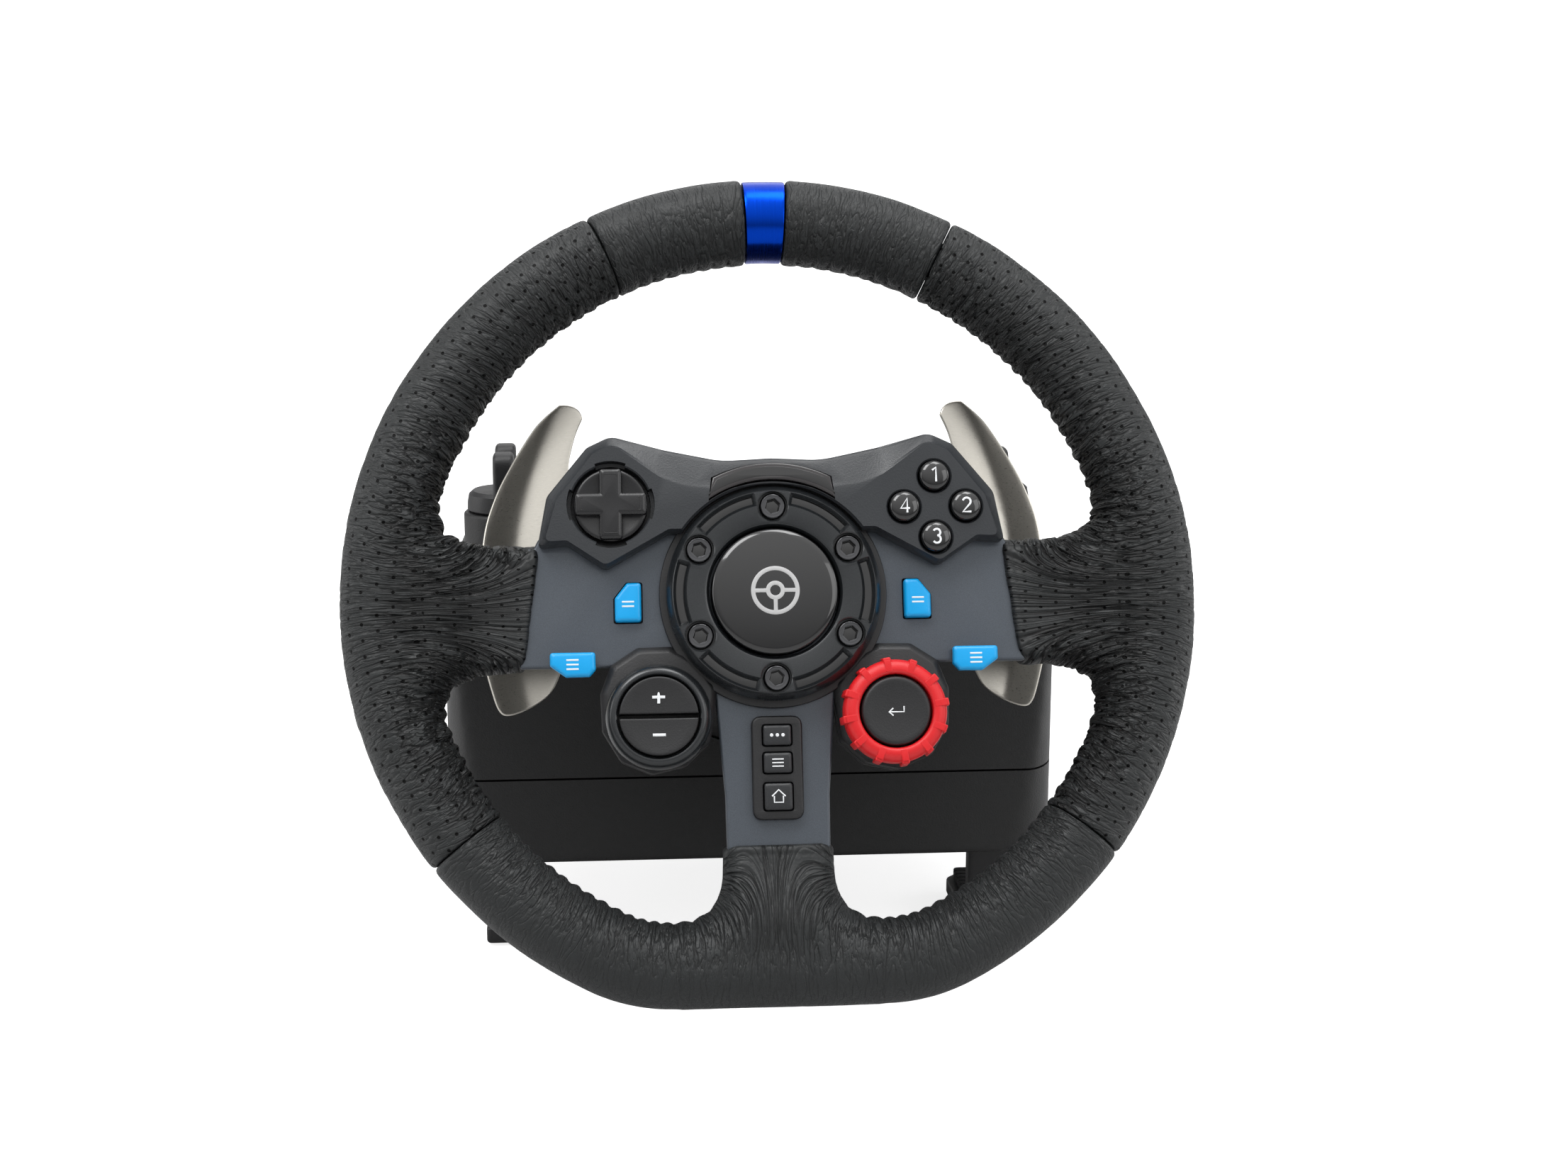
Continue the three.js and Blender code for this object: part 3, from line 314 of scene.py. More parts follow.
LOOKS = {
    "leather_smooth": leather_paint("leather_smooth", False),
    "leather_perforated": leather_paint("leather_perforated", True),
    "thread": moulded_paint("thread", (0.013, 0.013, 0.014), 0.7, 0.0003),
    "slate": painted_metal("slate", (0.057, 0.067, 0.081), 0.36),
    "charcoal": moulded_paint("charcoal", (0.021, 0.0235, 0.027), 0.38),
    "charcoal_dark": moulded_paint("charcoal_dark", (0.014, 0.015, 0.017), 0.42),
    "black_plastic": moulded_paint("black_plastic", (0.0085, 0.0085, 0.0095), 0.48),
    "shell": moulded_paint("shell", (0.0042, 0.0043, 0.0047), 0.5, 0.00012),
    "satin_black": painted_metal("satin_black", (0.017, 0.019, 0.021), 0.24),
    "gloss_black": gloss_paint("gloss_black", (0.0025, 0.0025, 0.003)),
    "lens": gloss_paint("lens", (0.012, 0.009, 0.010), 0.14),
    "blue": moulded_paint("blue", (0.003, 0.36, 0.78), 0.34, 0.00002, 0.05),
    "red": moulded_paint("red", (0.66, 0.010, 0.014), 0.42, 0.00004, 0.05),
    "white_ink": moulded_paint("white_ink", (0.82, 0.84, 0.86), 0.5, 0.00001),
    "grey_ink": moulded_paint("grey_ink", (0.5, 0.5, 0.5), 0.35, 0.00001),
    "paddle": brushed_metal("paddle", (0.58, 0.555, 0.50), 0.30, (30, 3600, 3600)),
    "anodised": brushed_metal("anodised", (0.002, 0.045, 0.46), 0.24, (3600, 40, 40)),
    "bolt": machined_metal("bolt", (0.085, 0.086, 0.09), 0.17),
    "pad_plastic": moulded_paint("pad_plastic", (0.010, 0.010, 0.011), 0.3, 0.00002),
    "steel": machined_metal("steel", (0.36, 0.37, 0.38), 0.34),
    "dark_steel": machined_metal("dark_steel", (0.028, 0.029, 0.031), 0.3),
    "cast_alloy": machined_metal("cast_alloy", (0.42, 0.43, 0.44), 0.5),
    "board": board_paint(),
    "rubber": moulded_paint("rubber", (0.009, 0.009, 0.010), 0.82, 0.0002),
    "nylon": moulded_paint("nylon", (0.62, 0.60, 0.54), 0.45, 0.00005),
}


def place_mesh(name, mesh, look, node, space=WHEEL, smooth=38, replaces=True):
    """Turn a mesh drawn in millimetres into a finished piece that rides with a CAD node and stands for it.
    """
    mesh.name = name
    mesh.transform(space)
    mesh.materials.clear()
    for key in ([look] if isinstance(look, str) else look):
        mesh.materials.append(LOOKS[key])
    piece = bpy.data.objects.new(name, mesh)
    bpy.context.scene.collection.objects.link(piece)
    mesh.shade_smooth()
    if smooth is not None:
        mesh.set_sharp_from_angle(angle=math.radians(smooth))
    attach(piece, frame["nodes"][node]["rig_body"])
    if replaces:
        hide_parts(node)
    return piece


def bake(thing):
    """The mesh of a scratch object with its modifiers applied; the object itself is removed."""
    bpy.context.view_layer.update()
    evaluated = thing.evaluated_get(bpy.context.evaluated_depsgraph_get())
    mesh = bpy.data.meshes.new_from_object(evaluated)
    data = thing.data
    bpy.data.objects.remove(thing)
    if data.users == 0:
        (bpy.data.curves if isinstance(data, bpy.types.Curve) else bpy.data.meshes).remove(data)
    return mesh


def scratch(mesh):
    thing = bpy.data.objects.new("scratch", mesh)
    bpy.context.scene.collection.objects.link(thing)
    return thing


def mesh_of(vertices, faces):
    mesh = bpy.data.meshes.new("shape")
    mesh.from_pydata([tuple(map(float, v)) for v in vertices], [], faces)
    mesh.validate()
    return mesh


def arc(cx, cy, radius, start, end, steps=24):
    """Points on an arc, angles in degrees."""
    turn = np.radians(np.linspace(start, end, steps + 1))
    return [(cx + radius * math.cos(a), cy + radius * math.sin(a)) for a in turn]


def circle(radius, cx=0.0, cy=0.0, steps=48):
    return arc(cx, cy, radius, 0, 360, steps)[:-1]


def rounded(points, radius, steps=6):
    """A closed outline with every corner turned into an arc; radius may be one number or one per corner."""
    count = len(points)
    radii = radius if isinstance(radius, (list, tuple)) else [radius] * count
    result = []
    for index, point in enumerate(points):
        here = Vector(point)
        back = Vector(points[index - 1]) - here
        ahead = Vector(points[(index + 1) % count]) - here
        opening = back.angle(ahead)
        cut = radii[index] / math.tan(opening / 2) if opening > 1e-3 else 0
        cut = min(cut, 0.48 * back.length, 0.48 * ahead.length)
        first = here + back.normalized() * cut
        last = here + ahead.normalized() * cut
        for step in range(steps + 1):
            share = step / steps
            bend = first * (1 - share) ** 2 + here * 2 * share * (1 - share) + last * share ** 2
            result.append((bend.x, bend.y))
    return result


def box_outline(width, height, radius, cx=0.0, cy=0.0):
    x, y = width / 2, height / 2
    return rounded([(cx - x, cy - y), (cx + x, cy - y), (cx + x, cy + y), (cx - x, cy + y)], radius)


def flip(points):
    """Mirror an outline left to right."""
    return [(-x, y) for x, y in reversed(points)]


def both_sides(half):
    """Close a right-hand half outline, listed from the centre line outwards, with its mirror image."""
    return half + [(-x, y) for x, y in reversed(half) if x > 1e-6]


def shifted(points, dx, dy):
    return [(x + dx, y + dy) for x, y in points]


def slab(outlines, low, high, edge=0.4, rings=3):
    """A flat solid between two levels with rounded edges; outlines after the first are holes."""
    curve = bpy.data.curves.new("outline", "CURVE")
    curve.dimensions = "2D"
    curve.fill_mode = "BOTH"
    for outline in outlines:
        spline = curve.splines.new("POLY")
        spline.points.add(len(outline) - 1)
        for point, (x, y) in zip(spline.points, outline):
            point.co = (x, y, 0, 1)
        spline.use_cyclic_u = True
    curve.extrude = (high - low) / 2 - edge
    curve.bevel_depth = edge
    curve.bevel_resolution = rings
    curve.offset = -edge
    thing = bpy.data.objects.new("outline", curve)
    bpy.context.scene.collection.objects.link(thing)
    mesh = bake(thing)
    mesh.transform(Matrix.Translation((0, 0, (low + high) / 2)))
    return weld(mesh)


def weld(mesh, distance=0.0005):
    work = bmesh.new()
    work.from_mesh(mesh)
    bmesh.ops.remove_doubles(work, verts=work.verts, dist=distance)
    bmesh.ops.recalc_face_normals(work, faces=work.faces)
    work.to_mesh(mesh)
    work.free()
    return mesh


def lathe(profile, steps=64, cx=0.0, cy=0.0):
    """A turned solid from [radius, level] points that start and end on the axis, or close on themselves."""
    closed = profile[0] == profile[-1]
    rings = profile[:-1] if closed else profile
    vertices = []
    for radius, level in rings:
        for step in range(steps):
            turn = 2 * math.pi * step / steps
            vertices.append((cx + radius * math.cos(turn), cy + radius * math.sin(turn), level))
    faces = []
    count = len(rings)
    for ring in range(count if closed else count - 1):
        after = (ring + 1) % count
        for step in range(steps):
            ahead = (step + 1) % steps
            faces.append((ring * steps + step, ring * steps + ahead, after * steps + ahead, after * steps +
                          step))
    return weld(mesh_of(vertices, faces))


def merge(*meshes):
    """One mesh from several, each keeping its own shells."""
    work = bmesh.new()
    for mesh in meshes:
        work.from_mesh(mesh)
        bpy.data.meshes.remove(mesh)
    result = bpy.data.meshes.new("merged")
    work.to_mesh(result)
    work.free()
    return result


def carve(mesh, *tools, operation="DIFFERENCE"):
    """Cut tools out of a mesh, or join them to it."""
    body = scratch(mesh)
    helpers = []
    for tool in tools:
        helper = scratch(tool)
        helpers.append(helper)
        modifier = body.modifiers.new("cut", "BOOLEAN")
        modifier.operation = operation
        modifier.object = helper
        modifier.solver = "EXACT"
    result = bake(body)
    for helper in helpers:
        data = helper.data
        bpy.data.objects.remove(helper)
        bpy.data.meshes.remove(data)
    return result


def soften(mesh, width, segments=2, angle=30):
    """Round the hard edges of a mesh."""
    thing = scratch(mesh)
    modifier = thing.modifiers.new("round", "BEVEL")
    modifier.width = width
    modifier.segments = segments
    modifier.limit_method = "ANGLE"
    modifier.angle_limit = math.radians(angle)
    modifier.harden_normals = False
    return bake(thing)


def reshape(mesh, change):
    """Move every vertex with a function of its position."""
    for vertex in mesh.vertices:
        vertex.co = change(vertex.co.copy())
    return mesh


# ------------------------------------------------------------------ leather rim
corner_reach = GRIP_CENTRE - FLAT_CORNER
corner_turn = math.acos((FLAT_CENTRE - FLAT_CORNER) / corner_reach)
corner_x = corner_reach * math.sin(corner_turn)
corner_y = -(FLAT_CENTRE - FLAT_CORNER)
corner_start = corner_x
corner_end = corner_x + FLAT_CORNER * corner_turn


def rim_place(points):
    """Distance outside the rim's centre line and distance along it from the bottom, for many points."""
    x, y = points[:, 0], points[:, 1]
    side = np.where(x < 0, -1.0, 1.0)
    across = np.abs(x)
    turn = np.arctan2(across, -y)
    outside = np.hypot(x, y) - GRIP_CENTRE
    along = corner_end + GRIP_CENTRE * (turn - corner_turn)
    from_corner = np.arctan2(across - corner_x, -(y - corner_y))
    in_corner = (from_corner > 0) & (from_corner < corner_turn) & (y < corner_y + 20)
    outside = np.where(in_corner, np.hypot(across - corner_x, y - corner_y) - FLAT_CORNER, outside)
    along = np.where(in_corner, corner_start + FLAT_CORNER * from_corner, along)
    on_flat = (across <= corner_x) & (y < corner_y)
    outside = np.where(on_flat, -y - FLAT_CENTRE, outside)
    along = np.where(on_flat, across, along)
    return outside, along * side


def rim_length(degrees):
    """Distance along the centre line from the bottom to a direction given in degrees from +X."""
    spot = np.array([[math.cos(math.radians(degrees)), math.sin(math.radians(degrees)), 0.0]]) * GRIP_CENTRE
    return float(rim_place(spot)[1][0])


def rim_point(along, outside=0.0):
    """The point at a distance along the centre line, and outside it, on the rim's mid-plane."""
    side = -1.0 if along < 0 else 1.0
    reach = abs(along)
    if reach <= corner_start:
        return side * reach, -FLAT_CENTRE - outside
    if reach <= corner_end:
        turn = (reach - corner_start) / FLAT_CORNER
        radius = FLAT_CORNER + outside
        return side * (corner_x + radius * math.sin(turn)), corner_y - radius * math.cos(turn)
    turn = corner_turn + (reach - corner_end) / GRIP_CENTRE
    radius = GRIP_CENTRE + outside
    return side * radius * math.sin(turn), -radius * math.cos(turn)


RIM_HALF_WIDTH = GRIP_WIDTH / 2 - 0.25
RIM_HALF_DEPTH = GRIP_DEPTH / 2 - 0.3
# The padded section is a superellipse of this power; a sleeve's own edges are rounder.
SECTION_POWER = 2.25
SLEEVE_ROUND = 5.5
# A sleeve widens over this length, and is cut off square only this far to each side of its middle.
FLARE_LENGTH = 30
CUT_REACH = 45
CUT_ROUND = 2.0
SEAM_ROUND = 1.7
# Inside the centre line, the sleeve's flat section turns into the rim's full one over this stretch.
FULL_FROM, FULL_LENGTH = -33, 22


def spoke_axes(points, spoke):
    """Distance out along a spoke, and across it."""
    return points[:, :2] @ np.array(spoke["out"]), points[:, :2] @ np.array(spoke["across"])


def smooth_union(first, second, reach):
    share = np.clip(0.5 + 0.5 * (second - first) / reach, 0, 1)
    return second * (1 - share) + first * share - reach * share * (1 - share)


def smooth_meet(first, second, reach):
    return -smooth_union(-first, -second, reach)


def ease(value):
    """Smooth step of a number already scaled to 0..1."""
    share = np.clip(value, 0, 1)
    return share * share * (3 - 2 * share)


class Grip:
    """One leather section: a stretch of the rim, with or without a sleeve over the end of a spoke."""

    def __init__(self, start, end, spoke=None):
        self.start, self.end = start, end
        self.spoke = spoke

    def sleeve_outline(self, points):
        """Distance outside the sleeve's outline, seen from the driver."""
        spoke = self.spoke
        out, across = spoke_axes(points, spoke)
        reach = np.clip((out - spoke["edge"]) / FLARE_LENGTH, 0, 1)
        half_height = (spoke["high"] - spoke["low"]) / 2 + spoke["flare"] * reach ** 2
        centre = (spoke["high"] + spoke["low"]) / 2
        return np.maximum(np.abs(across - centre) - half_height, out - (GRIP_CENTRE - 5))

    def field(self, points):
        """Zero on the leather's surface, negative inside it, about a distance in millimetres."""
        outside, along = rim_place(points)
        edge = np.abs(outside) - RIM_HALF_WIDTH
        round_width = RIM_HALF_WIDTH
        half_depth = RIM_HALF_DEPTH
        if self.spoke is not None:
            edge = smooth_union(edge, self.sleeve_outline(points), self.spoke["fillet"])
            share = ease((outside - FULL_FROM) / FULL_LENGTH)
            round_width = SLEEVE_ROUND + (RIM_HALF_WIDTH - SLEEVE_ROUND) * share
            half_depth = self.spoke["depth"] + (RIM_HALF_DEPTH - self.spoke["depth"]) * share
        shoulder = np.maximum((edge + round_width) / round_width, 0)
        height = np.abs(points[:, 2] / half_depth)
        size = (shoulder ** SECTION_POWER + height ** SECTION_POWER) ** (1 / SECTION_POWER)
        skin = (size - 1) * np.where(shoulder > 0.3, round_width, half_depth)
        if self.spoke is not None:
            out, across = spoke_axes(points, self.spoke)
            centre = (self.spoke["high"] + self.spoke["low"]) / 2
            cut = self.spoke["edge"] + self.spoke["slant"] * (across - centre) - out
            cut = np.where(np.abs(across - centre) < CUT_REACH, cut, -20)
            skin = smooth_meet(skin, cut, CUT_ROUND)
        ends = np.abs(along - (self.start + self.end) / 2) - (self.end - self.start) / 2
        return smooth_meet(skin, ends, SEAM_ROUND)

    def rough_mesh(self, size):
        """A closed mesh near the surface, remeshed into even quads."""
        half_width, half_depth = 12.6, 14.0
        steps = max(4, int((self.end - self.start) / 6))
        around = 24
        vertices, faces = [], []
        for step in range(steps + 1):
            along = self.start + (self.end - self.start) * step / steps
            for spot in range(around):
                turn = 2 * math.pi * spot / around
                x, y = rim_point(along, half_width * math.cos(turn))
                vertices.append((x, y, half_depth * math.sin(turn)))
        for step in range(steps):
            for spot in range(around):
                ahead = (spot + 1) % around
                base = step * around
                faces.append((base + spot, base + ahead, base + around + ahead, base + around + spot))
        faces.append(tuple(reversed(range(around))))
        faces.append(tuple(range(steps * around, (steps + 1) * around)))
        mesh = mesh_of(vertices, faces)
        if self.spoke is not None:
            mesh = merge(mesh, self.rough_sleeve())
        mesh = weld(mesh)
        thing = scratch(mesh)
        modifier = thing.modifiers.new("even", "REMESH")
        modifier.mode = "VOXEL"
        modifier.voxel_size = size
        return bake(thing)

    def rough_sleeve(self):
        spoke = self.spoke
        out, across = Vector((*spoke["out"], 0)), Vector((*spoke["across"], 0))
        corners = []
        for reach, grow in ((spoke["edge"], 0.0), (GRIP_CENTRE - 2, 7.0)):
            for side, level in ((spoke["low"], -1), (spoke["high"], -1), (spoke["high"], 1),
                                (spoke["low"], 1)):
                spread = side + math.copysign(grow, side)
                corners.append(out * reach + across * spread +
                               Vector((0, 0, level * (spoke["depth"] + grow / 3))))
        faces = [(0, 1, 2, 3), (7, 6, 5, 4), (0, 4, 5, 1), (1, 5, 6, 2), (2, 6, 7, 3), (3, 7, 4, 0)]
        return mesh_of(corners, faces)

    def slope(self, points):
        step = 0.05
        parts = []
        for axis in range(3):
            shift = np.zeros(3)
            shift[axis] = step
            parts.append((self.field(points + shift) - self.field(points - shift)) / (2 * step))
        return np.stack(parts, 1)

    def settle(self, points, rounds):
        for _ in range(rounds):
            slope = self.slope(points)
            size = np.maximum((slope ** 2).sum(1), 0.05)
            move = self.field(points) / size
            points = points - np.clip(move, -2, 2)[:, None] * slope
        return points


def neighbours_mean(mesh, points):
    """Each vertex's average neighbour, for evening out a mesh."""
    edges = np.zeros(len(mesh.edges) * 2, int)
    mesh.edges.foreach_get("vertices", edges)
    edges = edges.reshape(-1, 2)
    total = np.zeros_like(points)
    count = np.zeros(len(points))
    for a, b in ((0, 1), (1, 0)):
        np.add.at(total, edges[:, a], points[edges[:, b]])
        np.add.at(count, edges[:, a], 1)
    return total / np.maximum(count, 1)[:, None]


def value_noise(u, v, seed):
    """Smooth noise in two dimensions from -1 to 1."""
    def corner(i, j):
        value = np.sin(i * 127.1 + j * 311.7 + seed * 74.7) * 43758.5453
        return (value - np.floor(value)) * 2 - 1

    i, j = np.floor(u), np.floor(v)
    fu, fv = u - i, v - j
    fu, fv = fu * fu * (3 - 2 * fu), fv * fv * (3 - 2 * fv)
    low = corner(i, j) * (1 - fu) + corner(i + 1, j) * fu
    high = corner(i, j + 1) * (1 - fu) + corner(i + 1, j + 1) * fu
    return low * (1 - fv) + high * fv


STITCH_PITCH = 5.2
# Turns an angle round the grip's section into a length, and one round a sleeve's corner.
SECTION_RADIUS = 13.5
FAN_RADIUS = 15
PLEAT_DEPTH = 1.3


def crease_axes(points, outside, along, spoke):
    """Coordinates for creases: the first runs across them, the second along them, both in millimetres."""
    turn = np.arctan2(np.abs(points[:, 2]), -outside)
    first, second = along.copy(), turn * SECTION_RADIUS
    if spoke is None:
        return first, second
    weight = np.ones(len(points))
    for level, sign in ((spoke["high"] + spoke["away"], 1), (spoke["low"] - spoke["away"] - 3, -1)):
        out, across = spoke_axes(points, spoke)
        dx, dy = out - spoke["corner"], across - level
        reach = np.hypot(dx, dy) + 0.5
        fan = np.arctan2(dy, dx + 1e-6)
        fan = np.where(fan * sign > 2.2, fan - 2 * math.pi * sign, fan)
        near = 4 * np.exp(-(reach / spoke["fan"]) ** 2)
        anchor = spoke_anchor(spoke, level)
        first = first + near * (anchor + spoke["turn"] * FAN_RADIUS * fan)
        second = second + near * reach
        weight = weight + near
    return first / weight, second / weight


def spoke_anchor(spoke, level):
    """Distance along the rim at the height of a sleeve's corner."""
    place = np.array(spoke["out"]) * spoke["corner"] * 1.12 + np.array(spoke["across"]) * level
    return float(rim_place(np.array([[*place, 0.0]]))[1][0])


def crease_strength(points, outside, grip, wrinkled):
    """How creased the leather is: most round the spoke and on the inner half, least on the outer edge."""
    inner = ease((6 - outside) / 16)
    if not wrinkled:
        return 0.12 + 0.25 * inner
    strength = 0.22 + 0.78 * inner
    out, across = spoke_axes(points, grip.spoke)
    centre = (grip.spoke["high"] + grip.spoke["low"]) / 2
    strength *= 0.62 + 0.38 * np.exp(-((across - centre) / 46) ** 2)
    for level in (grip.spoke["high"] + grip.spoke["away"], grip.spoke["low"] - grip.spoke["away"] - 3):
        reach = np.hypot(out - grip.spoke["corner"], across - level)
        strength = strength + grip.spoke["corner_folds"] * np.exp(-((reach - 10) / 13) ** 2)
    calm = ease((out - grip.spoke["edge"]) / 20)
    strength *= np.where(np.abs(across - centre) < 45, 0.30 + 0.70 * calm, 1.0)
    return strength


def folded(first, second, width, length, seed):
    """Rounded folds with sharp valleys between them, from 0 on a crest to -1 in a valley."""
    sway = 0.7 * value_noise(first / (5 * width), second / (1.6 * length), seed + 1)
    noise = value_noise(first / width + sway, second / length, seed)
    return -np.maximum(0, 1 - np.abs(noise) * 2.4) ** 1.6


def gathers(points, outside, along, grip, wrinkled):
    """Height of the leather's pleats and folds, in millimetres, and how creased it is."""
    spoke = grip.spoke
    turn = np.arctan2(np.abs(points[:, 2]), -outside)
    near = np.clip(1 - turn / (1.45 if wrinkled else 0.9), 0, 1)
    sway = 0.5 * value_noise(along / 9, turn * 2, 3) * (1 - near)
    pleat = 1 - np.abs(np.sin(np.pi * (along / STITCH_PITCH + sway))) ** 0.75
    height = -PLEAT_DEPTH * near ** 1.5 * pleat
    first, second = crease_axes(points, outside, along, spoke)
    strength = crease_strength(points, outside, grip, wrinkled)
    folds = 0.66 * folded(first, second, 3.1, 9, 5) + 0.30 * folded(first, second, 1.8, 6, 17)
    if spoke is not None:
        height *= spoke_calm(points, spoke)
    height += (1.15 if wrinkled else 0.45) * strength * folds
    height += 0.16 * value_noise(along / 15, turn * 1.5, 21)
    if spoke is not None:
        height += hem(points, spoke)
    return height, strength, np.stack([first, second], 1)


def spoke_calm(points, spoke):
    """0 where the sleeve covers the inner edge, 1 away from it."""
    out, across = spoke_axes(points, spoke)
    gap = np.maximum(across - spoke["high"], spoke["low"] - across)
    beside = np.clip((gap - 1) / 7, 0, 1)
    inside = np.clip((GRIP_CENTRE - 2 - out) / 12, 0, 1)
    return 1 - (1 - beside) * inside


def hem(points, spoke):
    """The turned and stitched edge of a sleeve: a line of stitch dimples in a shallow groove."""
    out, across = spoke_axes(points, spoke)
    centre = (spoke["high"] + spoke["low"]) / 2
    back = out - spoke["edge"] - spoke["slant"] * (across - centre)
    groove = np.exp(-((back - 3.0) / 0.5) ** 2)
    stitch = 0.6 + 0.4 * np.sin(across * 2 * math.pi / 2.4)
    return -0.35 * groove * stitch * (np.abs(points[:, 2]) > 1)


def leather_coordinates(points, outside, along):
    """Coordinates on the leather in millimetres: along the rim, and across it from the outer edge."""
    front = np.arctan2(points[:, 2], outside)
    across = np.where(outside < -GRIP_WIDTH / 2 + 1,
                      np.sign(points[:, 2]) * (21 + (-outside - GRIP_WIDTH / 2)),
                      front * 13.5)
    return np.stack([along, across], 1)


def add_uv(mesh, name, places, corners):
    layer = mesh.uv_layers.new(name=name)
    layer.data.foreach_set("uv", places[corners].astype(np.float32).ravel())


def build_grip(name, grip, look, wrinkled):
    size = 0.5 if wrinkled else 0.62
    mesh = grip.rough_mesh(size)
    points = np.zeros(len(mesh.vertices) * 3)
    mesh.vertices.foreach_get("co", points)
    points = grip.settle(points.reshape(-1, 3), 6)
    for _ in range(3):
        points = grip.settle(0.5 * points + 0.5 * neighbours_mean(mesh, points), 2)
    outside, along = rim_place(points)
    slope = grip.slope(points)
    normals = slope / np.maximum(np.linalg.norm(slope, axis=1), 1e-6)[:, None]
    fade = ease(np.minimum(along - grip.start, grip.end - along) / 4)
    height, strength, creases = gathers(points, outside, along, grip, wrinkled)
    uv = leather_coordinates(points, outside, along)
    points = points + normals * (height * fade)[:, None]
    mesh.vertices.foreach_set("co", points.ravel())
    corners = np.zeros(len(mesh.loops), int)
    mesh.loops.foreach_get("vertex_index", corners)
    add_uv(mesh, "leather", uv, corners)
    add_uv(mesh, "creases", creases, corners)
    # The crease strength rides along as an attribute. The leather material uses it for the crease bumps and
    # for painted shade in the crease valleys.
    layer = mesh.attributes.new("crease", "FLOAT", "POINT")
    layer.data.foreach_set("value", strength.astype(np.float32))
    mesh.update()
    return place_mesh(name + "_leather", mesh, look, name, smooth=None)


def capsule(start, end, radius, bow, rings=6, around=8):
    """A short length of thread between two points, bowed outwards."""
    start, end, bow = Vector(start), Vector(end), Vector(bow)
    axis = (end - start).normalized()
    side = axis.cross(bow).normalized() if bow.length > 1e-6 else axis.orthogonal()
    lift = side.cross(axis)
    vertices, faces = [], []
    for ring in range(rings + 1):
        share = ring / rings
        centre = start.lerp(end, share) + bow * math.sin(math.pi * share)
        width = radius * math.sqrt(max(0.04, 1 - (2 * share - 1) ** 6))
        for spot in range(around):
            turn = 2 * math.pi * spot / around
            vertices.append(centre + side * width * math.cos(turn) + lift * width * math.sin(turn))
    for ring in range(rings):
        for spot in range(around):
            ahead = (spot + 1) % around
            faces.append((ring * around + spot, ring * around + ahead,
                          (ring + 1) * around + ahead, (ring + 1) * around + spot))
    faces.append(tuple(reversed(range(around))))
    faces.append(tuple(range(rings * around, (rings + 1) * around)))
    return vertices, faces


def gather_stitches(name, start, end, blocked):
    """Herringbone stitches pulled tight along the inner edge, as one piece of thread work."""
    vertices, faces = [], []
    inner = -GRIP_WIDTH / 2 + 0.6
    along = math.ceil((start + 3) / STITCH_PITCH) * STITCH_PITCH
    while along < end - 3:
        x, y = rim_point(along, inner)
        if not blocked(x, y):
            for side in (-1, 1):
                x0, y0 = rim_point(along - 1.2, inner + 0.85)
                x1, y1 = rim_point(along + 1.2, inner + 1.35)
                lift = Vector((-x, -y, 0)).normalized() * 0.3
                new_vertices, new_faces = capsule((x0, y0, side * 0.3), (x1, y1, side * 4.0), 0.5, lift)
                offset = len(vertices)
                vertices.extend(new_vertices)
                faces.extend(tuple(index + offset for index in face) for face in new_faces)
        along += STITCH_PITCH
    section = name.replace("stitching", "grip")
    place_mesh(name, mesh_of(vertices, faces), "thread", section, smooth=60, replaces=False)


def build_leather():
    seam_left, seam_right = rim_length(115), rim_length(63)
    low_left, low_right = rim_length(218), rim_length(-38)
    gap = 0.1
    top = GRIP_CENTRE * math.pi + corner_end - GRIP_CENTRE * corner_turn
    band = 6.3
    left_spoke = {"out": (-1, 0), "across": (0, 1), "low": -22.0, "high": 16.5, "edge": 72.0, "slant": -0.13,
                  "corner": 86.0, "away": 11.0, "fan": 27.0, "fillet": 15.0, "flare": 3.0, "depth": 8.0,
                  "turn": -1.0, "corner_folds": 0.55}
    right_spoke = {**left_spoke, "out": (1, 0), "turn": 1.0}
    bottom_spoke = {"out": (0, -1), "across": (1, 0), "low": -16.6, "high": 16.6, "edge": 74.6, "slant": 0.0,
                    "corner": 84.0, "away": 9.0, "fan": 17.0, "fillet": 14.0, "flare": 2.0, "depth": 7.8,
                    "turn": 1.0, "corner_folds": 0.0}
    build_grip("grip_top_left", Grip(-top + band, seam_left - gap), "leather_smooth", False)
    build_grip("grip_top_right", Grip(seam_right + gap, top - band), "leather_smooth", False)
    build_grip("grip_left", Grip(seam_left + gap, low_left - gap, left_spoke), "leather_perforated", True)
    build_grip("grip_right", Grip(low_right + gap, seam_right - gap, right_spoke), "leather_perforated", True)
    build_grip("grip_bottom", Grip(low_left + gap, low_right - gap, bottom_spoke), "leather_smooth", False)
    gather_stitches("stitching_top_left", -top + band, seam_left, lambda x, y: False)
    gather_stitches("stitching_top_right", seam_right, top - band, lambda x, y: False)
    gather_stitches("stitching_left", seam_left, low_left, lambda x, y: -35 < y < 29)
    gather_stitches("stitching_right", low_right, seam_right, lambda x, y: -35 < y < 29)
    gather_stitches("stitching_bottom", low_left, low_right, lambda x, y: abs(x) < 29)


# ------------------------------------------------------------------ shapes with sloped edges
def turned_left(points):
    """The outline listed anticlockwise."""
    area = sum(a[0] * b[1] - b[0] * a[1] for a, b in zip(points, points[1:] + points[:1]))
    return points if area > 0 else points[::-1]


def drawn_in(points, inset):
    """Move every side of an anticlockwise outline inwards by the same distance."""
    result = []
    count = len(points)
    for index in range(count):
        before, here, after = Vector(points[index - 1]), Vector(points[index]), Vector(points[(index +
                                                                                               1) % count])
        first, second = (here - before).normalized(), (after - here).normalized()
        normal = Vector((-first.y, first.x)) + Vector((-second.y, second.x))
        normal.normalize()
        spread = max(0.35, normal.dot(Vector((-first.y, first.x))))
        place = here + normal * inset / spread
        result.append((place.x, place.y))
    return result


